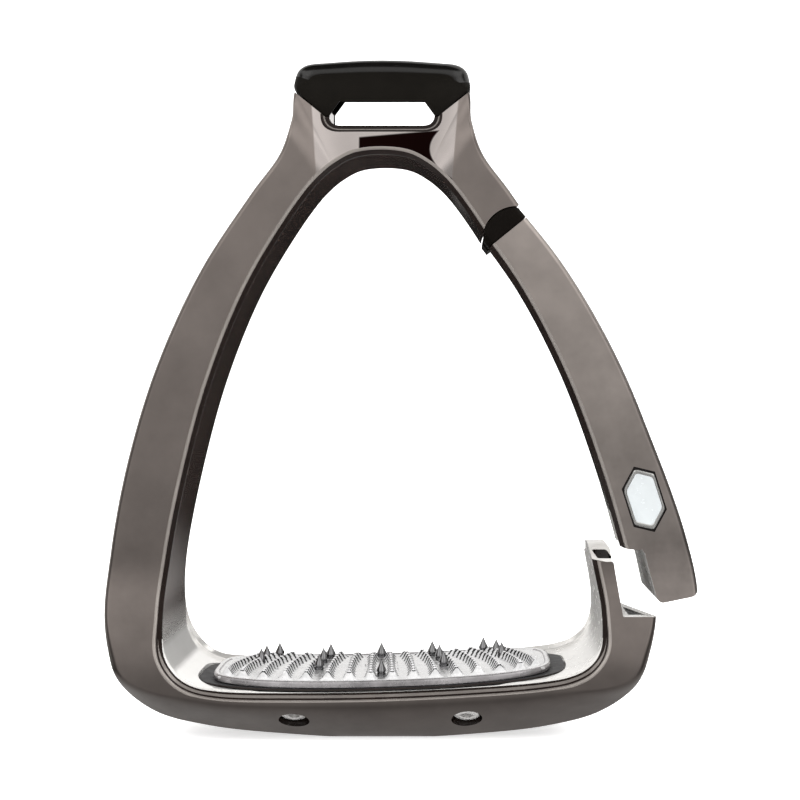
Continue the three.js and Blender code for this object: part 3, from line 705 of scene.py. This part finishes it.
def tip_space(margin, materials):
    """The latch post's rounded end, or with a margin the room for it."""
    below = 45
    front, *middle, rear = NOSE_SIDE
    top = max(z for _, z in NOSE_SIDE) + margin
    front_view = [
        (50, below),
        (64.9 + margin, below),
        (64.7 + margin, top - 1.6),
        (63.4 + margin, top),
        (50, top),
    ]
    front_y, rear_y = front[0] - margin, rear[0] + margin
    crest = [(front_y, front[1] + margin), *[(y, z + margin) for y, z in middle], (rear_y, rear[1] + margin)]
    side_view = [(front_y, below), *crest, (rear_y, below)]
    # faces made from this block get the painted pale reflection
    block = through_y(front_view, -30, 30, index=PAINTED_PALE, materials=materials)
    return combine(block, through_x(side_view, 40, 80, index=PAINTED_PALE, materials=materials), "INTERSECT")


def latch_block(low, high, materials, index):
    """A block on the slope of the post's end, where the magnet and its keeper sit."""
    (y0, z0), (y1, z1) = NOSE_SIDE[:2]
    slope = math.atan2(z1 - z0, y1 - y0)
    lean, reach = 0.7, 0.8  # the block's sides lean, so it shows as a parallelogram
    half_width, half_length = LATCH_WIDTH / 2, LATCH_LENGTH / 2
    outline = [
        (-half_width - lean, half_length, reach),
        (-half_width + lean, -half_length, reach),
        (half_width + lean, -half_length, reach),
        (half_width - lean, half_length, reach),
    ]

    def place(x, y, z):
        return (
            LATCH_PLACE[0] + x,
            LATCH_PLACE[1] + y * math.cos(slope) - z * math.sin(slope),
            LATCH_PLACE[2] + y * math.sin(slope) + z * math.cos(slope),
        )

    return prism(rounded(outline), low, high, place, index=index, materials=materials)


def slot_outline(grow, high):
    """The strap slot's front view, with its foot and its sides grown outwards."""
    half_width, low, radius = STRAP_HALF + grow, STRAP_FOOT - grow, STRAP_RADIUS + grow
    foot = [(-half_width, low, radius), (half_width, low, radius)]
    roof = [(half_width, high, 1.0), (-half_width, high, 1.0)]
    return rounded(foot + roof, 8)


def guard_outline(margin):
    """The guard's front view: a rounded crown over two slanting shoulders."""
    corners = [
        (-16.2, 175.4 - margin, 0.0),
        (-25.4 - margin, 183.3 - margin, 1.8),
        (-23.8 - margin, 190.3 + margin, 4.6),
        (0, 192.1 + margin, 12.0),
        (23.8 + margin, 190.3 + margin, 4.6),
        (25.4 + margin, 183.3 - margin, 1.8),
        (16.2, 175.4 - margin, 0.0),
    ]
    return rounded(corners, 8)


GUARD_NOTCH = [(-14.9, 165), (14.9, 165), (14.9, 175.4), (12, 179.4), (-12, 179.4), (-14.9, 175.4)]
ROOF_CLIMB = 0.147


def climbing_openings(outline, materials, index):
    """The level opening, and the same opening climbing towards the rear."""
    def climb(x, z, y):
        return (x, y, z + ROOF_CLIMB * (y + GUARD_HALF_DEPTH))

    level = through_y(outline, -31, 31, index=index, materials=materials)
    climbing = prism(outline, -30, 30, climb, index=index, materials=materials)
    return [level, climbing]


def bar_outline(margin):
    """The strap bar's front view, with its upper corners cut off."""
    low, half, top = 167, BAR_HALF + margin, BAR_TOP + margin
    right = [(half, low), (half, top - 3.5), (half - 4, top)]
    return [(-half, low), *right, (-half + 4, top), (-half, top - 3.5)]


# -------------------- frame

SCREW_TILT = math.radians(59)
SCREW_BORE = 4.3
SOCKET_ROWS = (9, 10)  # rows of the screw's profile that are six-sided
# Each seat is the place of the screw's foot, and the way that the screw leans.
SCREW_SEATS = {
    "tread_screw_front_left": (-24, -21.5, 6.6, 1),
    "tread_screw_front_right": (24, -21.5, 6.6, 1),
    "tread_screw_rear_left": (-24, 19, 4.6, -1),
    "tread_screw_rear_right": (24, 19, 4.6, -1),
}


def on_screw(seat, depth):
    """A place on a screw's axis, from its seat inwards."""
    x, y, z, lean = seat
    return (x, y + lean * math.cos(SCREW_TILT) * depth, z + math.sin(SCREW_TILT) * depth)


def make_frame():
    """The whole casting: the ring less the arm's room, with the tongue, the post and the cuts."""
    body = ring("frame_body", METALS)

    def cut(outline, index, low=-40, high=40):
        combine(body, through_y(outline, low, high, index=index, materials=METALS))

    tip = combine(ring("tip_blank", METALS), tip_space(0, METALS), "INTERSECT")
    cut(arm_outline(), SATIN)
    cut(cap_outline(), SATIN)
    # the ledge's cut walls get the painted pale reflection
    x, z = LEDGE_X + 0.1, LEDGE_Z - 0.05
    cut([(x, z), (95, z), (95, 60), (SHOULDER_X + 0.1, 60), (SHOULDER_X + 0.1, SHOULDER_Z)], PAINTED_PALE)
    cut(circle(PIVOT, STUB_RADIUS, 120), SATIN)
    tongue_y = SLOT_Y[0] + GAP, SLOT_Y[1] - GAP
    tongue = through_y(circle(PIVOT, 6.2, 60), *tongue_y, index=SATIN, materials=METALS)
    neck = [from_joint(-5, 0), from_joint(4, 0), from_joint(1.5, 12), from_joint(-7, 12)]
    combine(tongue, through_y(neck, *tongue_y, index=SATIN, materials=METALS), "UNION")
    combine(body, tongue, "UNION")
    cut(circle(PIVOT, BUSH_BORE, 48), POLISHED, -12, 4)
    combine(body, tip, "UNION")
    # the latch recess's walls are painted dark as shade
    combine(body, latch_block(-3.3, 3, METALS, PAINTED_DARK))
    pocket = [(69.3, -17.6), (74.0, -17.6), (69.3, 1.5)]
    combine(body, through_z(pocket, 32.4, 42, index=POLISHED, materials=METALS))
    combine(body, tread_seat(0.3, -0.4, 9.0, METALS, POLISHED))
    round_bar = through_y(guard_outline(GAP), -30, 30, index=POLISHED, materials=METALS)
    combine(round_bar, through_y(bar_outline(0), -10, 10, index=POLISHED, materials=METALS))
    combine(body, round_bar)
    cut([(-40, BAR_TOP), (40, BAR_TOP), (40, 210), (-40, 210)], POLISHED)
    for tool in climbing_openings(slot_outline(0, STRAP_ROOF), METALS, POLISHED):
        combine(body, tool)
    # the slot rim's steps are painted as a dark shade line, a highlight line and a dark shade line
    for grow, depth, zone in ((2.2, -14.9, PAINTED_DARK), (1.5, -14.2, PAINTED_SHINE), (1.1, -13.2, PAINTED_DARK)):
        cut(slot_outline(grow, 181), zone, -30, depth)
    # the screw bores' walls are painted dark as shade
    for seat in SCREW_SEATS.values():
        ends = on_screw(seat, -8), on_screw(seat, 4.2)
        combine(body, rod(*ends, SCREW_BORE, 56, index=PAINTED_DARK, materials=METALS))
    shade(body, 28)
    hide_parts("frame")
    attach(body, STIRRUP)


# -------------------- tread

def tread_edge(angle, half_length, half_width):
    """A place on the superellipse that the plate and the gasket follow."""
    c, s = math.cos(angle), math.sin(angle)
    x = half_length * math.copysign(abs(c) ** (2 / PLATE_POWER), c)
    y = half_width * math.copysign(abs(s) ** (2 / PLATE_POWER), s)
    return x, y


def tread_layers(half_length, half_width, layers, name, materials, index=0, around=240):
    """A closed slab on the dished footbed. layers are (inset, height) from the middle below to the
    middle above; an inset of None is the middle."""
    points, faces = [], []
    for inset, height in layers[1:-1]:
        for i in range(around):
            angle = 2 * math.pi * (i + 0.5) / around
            x, y = tread_edge(angle, half_length - inset, half_width - inset)
            points.append((x, PLATE_Y + y, footbed(x) + height))
    rows = len(layers) - 2
    low, high = len(points), len(points) + 1
    points += [(0, PLATE_Y, footbed(0) + layers[0][1]), (0, PLATE_Y, footbed(0) + layers[-1][1])]
    for i in range(around):
        j = (i + 1) % around
        faces.append((low, j, i))
        faces.append((high, (rows - 1) * around + i, (rows - 1) * around + j))
        for k in range(rows - 1):
            faces.append((k * around + i, k * around + j, (k + 1) * around + j, (k + 1) * around + i))
    made = add_object(name, points, faces, materials, [index] * len(faces), smooth_angle=0)
    fix_normals(made)
    return made


def paint_side_shade(piece, index):
    """Gives a slab's upright edge a darker material of its own: painted shade."""
    for face in piece.data.polygons:
        if abs(face.normal.z) < 0.75:
            face.material_index = index


def rings_inwards(height, start, depth=24.0, count=12):
    """Layers of a slab that run level from its edge to near its middle."""
    return [(start + (depth - start) * (k / count), height) for k in range(count + 1)]


def tread_seat(margin, low, high, materials, index):
    """The seat that the gasket and the plate are let into."""
    half_length = PLATE_HALF_LENGTH + GASKET_REACH + margin
    half_width = PLATE_HALF_DEPTH + GASKET_SIDE + margin
    layers = [(None, low), *rings_inwards(low, 0)[::-1], *rings_inwards(high, 0), (None, high)]
    return tread_layers(half_length, half_width, layers, "tool", materials, index)


def tooth_phase(share, side, teeth):
    """Where a place on a rib lies in its chevron tooth: 0 and 1 on the tooth, 0.5 in the groove."""
    return (share * teeth / 2 + CHEVRON * abs(side)) % 1.0


def rib_centre(start, share):
    """The middle of a rib, with share going from -1 at its front end to 1 at its rear end. The ribs draw
    together towards the rear, and the whole pattern is skewed a little to -X."""
    gather = 0.95 - 0.115 * share - 0.065 * share * share
    x = start * gather
    reach = PLATE_HALF_DEPTH * (1 - (abs(x) / PLATE_HALF_LENGTH) ** PLATE_POWER) ** (1 / PLATE_POWER)
    y = PLATE_Y + share * (reach - EDGE_LAND)
    return x + PATTERN_MIDDLE + PATTERN_SKEW * y, y


def rib_mesh(start, points, faces, indices):
    """One rib: narrow at its waist, with chevron teeth across it."""
    pitch = TOOTH_PITCH * (1 - TOOTH_CROWDING * (start / RIB_LAST) ** 2)
    teeth = round((rib_centre(start, 1)[1] - rib_centre(start, -1)[1]) / pitch)
    rows = teeth * TOOTH_STEPS + 1
    columns = 15
    first = len(points)
    skirt, root = 0.1, 0.5  # how far the sides and the underside go below the ground
    for i in range(rows):
        share = -1 + 2 * i / (rows - 1)
        centre, y = rib_centre(start, share)
        half = (RIB_WAIST + RIB_SPREAD * abs(share) ** 1.6) / 2
        end_drop = smoothstep(abs(share), 0.80, 1.0)
        for j in range(columns):
            side = -1 + 2 * j / (columns - 1)
            ridge = 1 - smoothstep(abs(side), 0.12, 1.0)
            notch = 1 - abs(2 * tooth_phase(share, side, teeth) - 1)
            cut = TOOTH_CUT * ridge * (1 - end_drop) * notch
            height = (RIB_RISE + GROUND_DROP) * ridge * (1 - 0.9 * end_drop) - cut
            x = centre + side * half
            points.append((x, y, footbed(x) + PLATE_GROUND + max(height, -skirt)))
    under = len(points)
    for i in (0, rows - 1):
        for j in range(columns):
            x, y, _ = points[first + i * columns + j]
            points.append((x, y, footbed(x) + PLATE_GROUND - root))
    for i in range(rows - 1):
        for j in range(columns - 1):
            a = first + i * columns + j
            faces.append((a, a + 1, a + columns + 1, a + columns))
            share = -1 + 2 * (i + 0.5) / (rows - 1)
            side = -1 + 2 * (j + 0.5) / (columns - 1)
            phase = tooth_phase(share, side, teeth)
            is_toothed = -0.80 < share < 0.92
            # faces in the grooves are painted dark as shade
            is_groove_shade = 0.50 < phase < 0.82 and is_toothed and abs(side) < 0.93
            indices.append(TREAD_GROOVE_SHADE if is_groove_shade else TREAD_TOOTH)
    for j in range(columns - 1):
        faces.append((under + j, under + j + 1, first + j + 1, first + j))
        last = first + (rows - 1) * columns
        faces.append((last + j, last + j + 1, under + columns + j + 1, under + columns + j))
        faces.append((under + columns + j, under + columns + j + 1, under + j + 1, under + j))
    left = [first + i * columns for i in range(rows)]
    right = [first + i * columns + columns - 1 for i in range(rows)]
    faces.append(tuple(left + [under + columns, under]))
    faces.append(tuple(right[::-1] + [under + columns - 1, under + 2 * columns - 1]))


def make_tread():
    """The plate with its ribs, and the gasket under it."""
    lip = [
        (None, PLATE_FOOT),
        *rings_inwards(PLATE_FOOT, 0.5)[::-1],
        (0.15, PLATE_FOOT + 0.1),
        (0.0, PLATE_FOOT + 0.3),
        (0.0, PLATE_TOP - 0.9),
        (0.1, PLATE_GROUND),
        (0.35, PLATE_TOP - 0.15),
        (0.7, PLATE_TOP),
        (1.1, PLATE_TOP),
        (1.4, PLATE_TOP - 0.12),
        (1.7, PLATE_TOP - 0.4),
        *rings_inwards(PLATE_GROUND, 2.0),
        (None, PLATE_GROUND),
    ]
    plate = tread_layers(PLATE_HALF_LENGTH, PLATE_HALF_DEPTH, lip, "tread_top", [tread_silver, tread_rim_shade])
    # the plate's upright edge is painted darker as shade
    paint_side_shade(plate, 1)
    shade(plate, 40)
    points, faces, indices = [], [], []
    for i in range(RIB_PAIRS):
        x = (i + 0.5) * RIB_PITCH if i < RIB_PAIRS - 1 else RIB_LAST
        for place in (x, -x):
            rib_mesh(place, points, faces, indices)
            indices += [TREAD_GROUND] * (len(faces) - len(indices))
    ribs = add_object("tread_ribs", points, faces, TREAD_METALS, indices, smooth_angle=0)
    fix_normals(ribs)
    shade(ribs, 25)
    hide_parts("tread_plate")
    for piece in (plate, ribs):
        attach(piece, STIRRUP)
    edge = [
        (None, -0.1),
        *rings_inwards(-0.1, 0.4)[::-1],
        (0.0, 0.1),
        (0.0, 0.4),
        (0.1, 0.55),
        (0.3, GASKET_TOP),
        *rings_inwards(GASKET_TOP, 0.8),
        (None, GASKET_TOP),
    ]
    half_length, half_width = PLATE_HALF_LENGTH + GASKET_REACH, PLATE_HALF_DEPTH + GASKET_SIDE
    gasket = tread_layers(half_length, half_width, edge, "gasket", [rubber_grey, painted_dark_edge])
    # the gasket's upright edge is painted near-black as shade
    paint_side_shade(gasket, 1)
    shade(gasket, 40)
    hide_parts("tread_gasket")
    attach(gasket, STIRRUP)


def make_spikes():
    """Turned studs, each on the foot of its own CAD spike."""
    shank = [(0, 0.0), (1.25, 0.0), (1.30, 1.45), (1.28, 1.60), (1.10, 1.72), (1.10, 1.90)]
    point = [(1.40, 2.02), (1.45, 2.15), (1.32, 2.60), (1.04, 3.20), (0.70, 3.90), (0.33, 4.70)]
    tip = [(0.06, 5.36), (0, 5.40)]
    for i in range(1, SPIKES + 1):
        low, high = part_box(f"spike_{i}")
        x, y = ((low + high) / 2).xy
        foot = low.z

        def place(a, b, h, x=x, y=y, foot=foot):
            return (x / MM + a, y / MM + b, foot / MM + h)

        made = turned(shank + point + tip, place, 32, name=f"stud_{i}", materials=[spike_chrome])
        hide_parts(f"spike_{i}")
        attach(made, STIRRUP)


def make_screws():
    """Slanted screws, each with a round head and a six-sided socket."""
    shank = [(0, 6.0), (1.4, 6.0), (1.4, 3.6)]
    head = [(3.55, 3.6), (3.6, 3.45), (3.6, 1.2), (3.45, 0.9), (3.1, 0.75), (1.95, 0.75)]
    socket = [(1.8, 0.9), (1.7, 2.6), (0, 2.8)]
    for name, seat in SCREW_SEATS.items():
        foot = Vector(on_screw(seat, 0))
        turn = (Vector(on_screw(seat, 1)) - foot).to_track_quat("Z", "Y")

        def place(a, b, h, foot=foot, turn=turn):
            return tuple(foot + turn @ Vector((a, b, h)))

        made = turned(shank + head + socket, place, 48, SOCKET_ROWS, f"{name}_head", [fastener])
        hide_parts(name)
        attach(made, STIRRUP)


# -------------------- guard

def make_guard():
    """The black saddle over the bar: rounded at its front and rear, and hollow round the bar."""
    outline = guard_outline(0)
    centre, half_width, half_height = Vector((0, 184)), 24, 7.5
    straight_below, rounded_from, gloss_above, gloss_layers = 182.0, 186.0, 186.0, 5
    rounding = [(0, 3.9), (0.08, 3.3), (0.35, 2.4), (0.9, 1.4), (1.8, 0.6), (2.9, 0.15), (3.9, 0.0)]
    layers = [(depth - GUARD_HALF_DEPTH, inset) for depth, inset in rounding]
    layers += [(-y, inset) for y, inset in layers[::-1]]
    points = []
    for y, inset in layers:
        for x, z in outline:
            out = Vector((x, z)) - centre
            shrunk = centre + Vector((out.x * (1 - inset / half_width), out.y * (1 - inset / half_height)))
            share = min(1.0, max(0.0, (z - straight_below) / (rounded_from - straight_below)))
            points.append((x + (shrunk.x - x) * share, y, z + (shrunk.y - z) * share))
    rows = len(layers)
    faces = skin(len(outline), rows)
    glossy = [0, 0]
    for k in range(rows - 1):
        is_near_end = k < gloss_layers or k > rows - 2 - gloss_layers
        glossy += [int(is_near_end and z >= gloss_above) for _, z in outline]
    shell = add_object("guard_shell", points, faces, [guard_black, guard_gloss], glossy, smooth_angle=0)
    fix_normals(shell)
    combine(shell, through_y(bar_outline(GAP), -10.3, 10.3, materials=[guard_black]))
    for tool in climbing_openings(GUARD_NOTCH, [guard_black], 0):
        combine(shell, tool)
    shade(shell, 30)
    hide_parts("strap_guard")
    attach(shell, STIRRUP)


# -------------------- arm

def swing(piece):
    """Turns a piece that was drawn with the arm closed to where the arm rests."""
    pivot = Vector((PIVOT[0], 0, PIVOT[1])) * MM
    turn = Matrix.Translation(pivot) @ Matrix.Rotation(-ARM_REST, 4, "Y") @ Matrix.Translation(-pivot)
    piece.data.transform(turn)


def badge_corners(margin):
    """The badge's long hexagon in the front view, grown by a margin."""
    grow = 1 + margin / BADGE_HALF
    corners = [(-1.9, 8.7), (3.4, 6.9), (5.6, -3.15)]
    corners += [(-x, -z) for x, z in corners]
    return [(BADGE_PLACE[0] + x * grow, BADGE_PLACE[1] + z * grow) for x, z in corners]


def make_arm():
    """The release arm: what the frame leaves of the ring, forked at the hinge and let in for the badge."""
    body = ring("arm_shell", ARM_METALS, ARM_DRAFT, ARM_FLARE)
    keep = dict(materials=ARM_METALS)
    combine(body, through_y(arm_outline(), index=SATIN, **keep), "INTERSECT")
    # the arm's cut edges get the painted pale reflection
    combine(body, through_y(rounded_arm_outline(GAP + 0.05), index=PAINTED_PALE, **keep), "INTERSECT")
    combine(body, through_y(circle(PIVOT, STUB_RADIUS + 0.4, 96), *SLOT_Y, index=POLISHED, **keep))
    combine(body, through_y(circle(PIVOT, PIN_BORE, 40), -14, 30, index=POLISHED, **keep))
    combine(body, through_y(circle(PIVOT, PIN_HEAD_BORE, 40), PIN_HEAD_Y, 30, index=POLISHED, **keep))
    combine(body, tip_space(GAP + 0.1, ARM_METALS))
    combine(body, latch_block(0, 2.9, ARM_METALS, POLISHED))
    # the badge pocket's walls are painted dark as shade round the badge
    combine(body, through_y(badge_corners(0.4), -30, -BRANCH_DEPTH / 2 + 0.9, index=PAINTED_DARK, **keep))
    shade(body, 28)
    swing(body)
    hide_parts("release_arm")
    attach(body, ARM)


def make_badge():
    """A plain hexagonal plate with a raised rim."""
    face = -BRANCH_DEPTH / 2
    rim = [(0.0, 0.6), (0.0, -0.15), (-0.10, -0.30), (-0.25, -0.38), (-0.50, -0.38)]
    dip = [(-0.62, -0.30), (-0.70, -0.22)]
    outlines = [(y, rounded([(*p, 0.9) for p in badge_corners(grow)], 4)) for grow, y in rim + dip]
    points = [(x, face + y, z) for y, outline in outlines for x, z in outline]
    faces = skin(len(points) // len(outlines), len(outlines))
    plate = add_object("badge_plate", points, faces, [badge_rim, badge_silver], smooth_angle=0)
    plate.data.polygons[1].material_index = 1  # the second face of a skin is its far end, here the front
    fix_normals(plate)
    shade(plate, 32)
    swing(plate)
    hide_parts("badge")
    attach(plate, ARM)


def make_covers():
    """The black knuckle, in front of and behind the frame's tongue."""
    for name, low, high in (("hinge_cover_front", -40, SLOT_Y[0]), ("hinge_cover_rear", SLOT_Y[1], 40)):
        body = ring(f"{name}_shell", [cover_black] * len(METALS))
        foot = JOINT_ABOVE_PIVOT + GAP
        above = [from_joint(*corner) for corner in ((-14, foot), (14, foot), (14, 14), (-14, 14))]
        for outline in (circle(PIVOT, STUB_RADIUS - 0.35, 120), above):
            combine(body, through_y(outline, low, high, materials=[cover_black]), "INTERSECT")
        for polygon in body.data.polygons:
            polygon.material_index = 0
        shade(body, 30)
        swing(body)
        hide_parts(name)
        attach(body, ARM)


def finish_small_nodes():
    """Gives the small CAD nodes that stay as they are a finish each."""
    finishes = {
        "hinge_pin": fastener,
        "hinge_bush": bronze,
        "latch_magnet": magnet_black,
        "latch_keeper": fastener,
        "arm_stop_pad": rubber_grey,
    }
    for name, item in finishes.items():
        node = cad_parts[name]
        node.data.materials.clear()
        node.data.materials.append(item)
        shade(node, 30)


# -------------------- studio

def make_stage():
    """A pale sweep: a floor that curves up into a backdrop."""
    half_width, near, bend, radius, top, steps = 2600, -1200, 900, 600, 2400, 11
    turns = [0.1 + (math.pi / 2 - 0.1) * k / steps for k in range(steps + 1)]
    profile = [(near, 0.0), (bend, 0.0)]
    profile += [(bend + radius * math.sin(t), radius - radius * math.cos(t)) for t in turns]
    profile += [(bend + radius, top)]
    points, faces = [], []
    for y, z in profile:
        points += [(-half_width, y, z), (half_width, y, z)]
    for i in range(len(profile) - 1):
        faces.append((2 * i, 2 * i + 1, 2 * i + 3, 2 * i + 2))
    n = Finish("pale_floor")
    n.shader.inputs["Base Color"].default_value = (0.9, 0.9, 0.9, 1)
    n.shader.inputs["Roughness"].default_value = 0.9
    n.shader.inputs["Specular IOR Level"].default_value = 0.0
    n.shader.inputs["Emission Color"].default_value = (1, 1, 1, 1)
    n.shader.inputs["Emission Strength"].default_value = 0.62
    floor = add_object("floor", points, faces, [n.material])
    floor.visible_glossy = False


def make_world():
    """Studio surroundings: bright softboxes ahead and behind, dark flags above and at the sides."""
    world = bpy.data.worlds.new("studio")
    bpy.context.scene.world = world
    n = Nodes(world, "Generated")
    brightness, tint = 2.6, (1.0, 0.985, 0.97)

    def curve(source, stops):
        """A brightness along stops of (place, value). The dark stretches are a little warm."""
        node = n.add("ShaderNodeValToRGB")
        low, high = stops[0][0], stops[-1][0]
        n.link(n.math("DIVIDE", n.math("SUBTRACT", source, low), high - low), node.inputs[0])
        curve_stops = node.color_ramp.elements
        while len(curve_stops) < len(stops):
            curve_stops.new(0.5)
        for stop, (at, value) in zip(curve_stops, stops):
            stop.position = (at - low) / (high - low)
            warm = 1.0 if value > 0.1 else 0.62
            stop.color = (value, value * warm, value * warm * warm ** 0.5, 1)
        return node.outputs["Color"]

    x, y, z = n.split(n.where)
    raised = n.math("SUBTRACT", z, n.math("MULTIPLY", x, 0.3))
    behind = curve(raised, [(-1, 0.20), (-0.20, 0.25), (-0.16, 0.010), (0.055, 0.007), (0.10, 0.40),
                            (0.55, 0.42), (0.93, 0.40), (0.96, 0.012), (1, 0.01)])
    ahead = curve(z, [(-1, 0.16), (-0.7, 0.27), (-0.3, 0.31), (0.3, 0.33), (0.5, 0.75), (0.78, 0.75),
                      (0.84, 0.03), (1, 0.02)])
    across = n.math("ABSOLUTE", x)
    boxes = curve(across, [(0, 0.62), (0.22, 0.66), (0.32, 1.0), (0.70, 0.95), (0.80, 0.06), (1, 0.03)])
    is_rear = curve(y, [(-1, 0), (-0.06, 0), (0.06, 1), (1, 1)])
    rear = n.math("MULTIPLY", behind, is_rear)
    front = n.math("MULTIPLY", n.math("MULTIPLY", ahead, boxes), n.math("SUBTRACT", 1.0, is_rear))
    total = n.math("MULTIPLY", n.math("ADD", rear, front), brightness)
    color = n.add("ShaderNodeCombineColor")
    for socket, share in zip(color.inputs, tint):
        n.link(n.math("MULTIPLY", total, share), socket)
    n.link(color.outputs[0], n.tree.nodes["Background"].inputs["Color"])


def add_light(name, place, target, side, power):
    """A square area light that reflections don't show."""
    light = bpy.data.lights.new(name, "AREA")
    light.shape = "SQUARE"
    light.size = side
    light.energy = power
    made = bpy.data.objects.new(name, light)
    made.location = place
    made.rotation_euler = (Vector(target) - Vector(place)).to_track_quat("-Z", "Y").to_euler()
    bpy.context.scene.collection.objects.link(made)
    made.visible_glossy = False


def make_camera():
    camera = bpy.data.cameras.new("camera")
    camera.sensor_width = 36
    camera.lens = 80.325
    camera.shift_x = -0.07
    camera.shift_y = -0.01875
    made = bpy.data.objects.new("camera", camera)
    made.location = (0.021, -0.5175, 0.0993)
    made.rotation_euler = (math.pi / 2, 0, 0)
    bpy.context.scene.collection.objects.link(made)
    bpy.context.scene.camera = made


make_frame()
make_arm()
make_badge()
make_covers()
make_guard()
make_tread()
make_spikes()
make_screws()
finish_small_nodes()
make_stage()
make_world()
add_light("key", (-0.5, -0.7, 1.0), (0, 0, 0.09), 0.8, 9)
add_light("fill", (0.7, -0.5, 0.8), (0, 0, 0.09), 0.7, 6)
add_light("left_wash", (-0.7, -0.05, 0.40), (0.06, 0, 0.04), 0.6, 3)
add_light("right_wash", (0.7, -0.05, 0.40), (-0.06, 0, 0.03), 0.6, 5)
make_camera()
bpy.context.scene.view_settings.view_transform = "Standard"
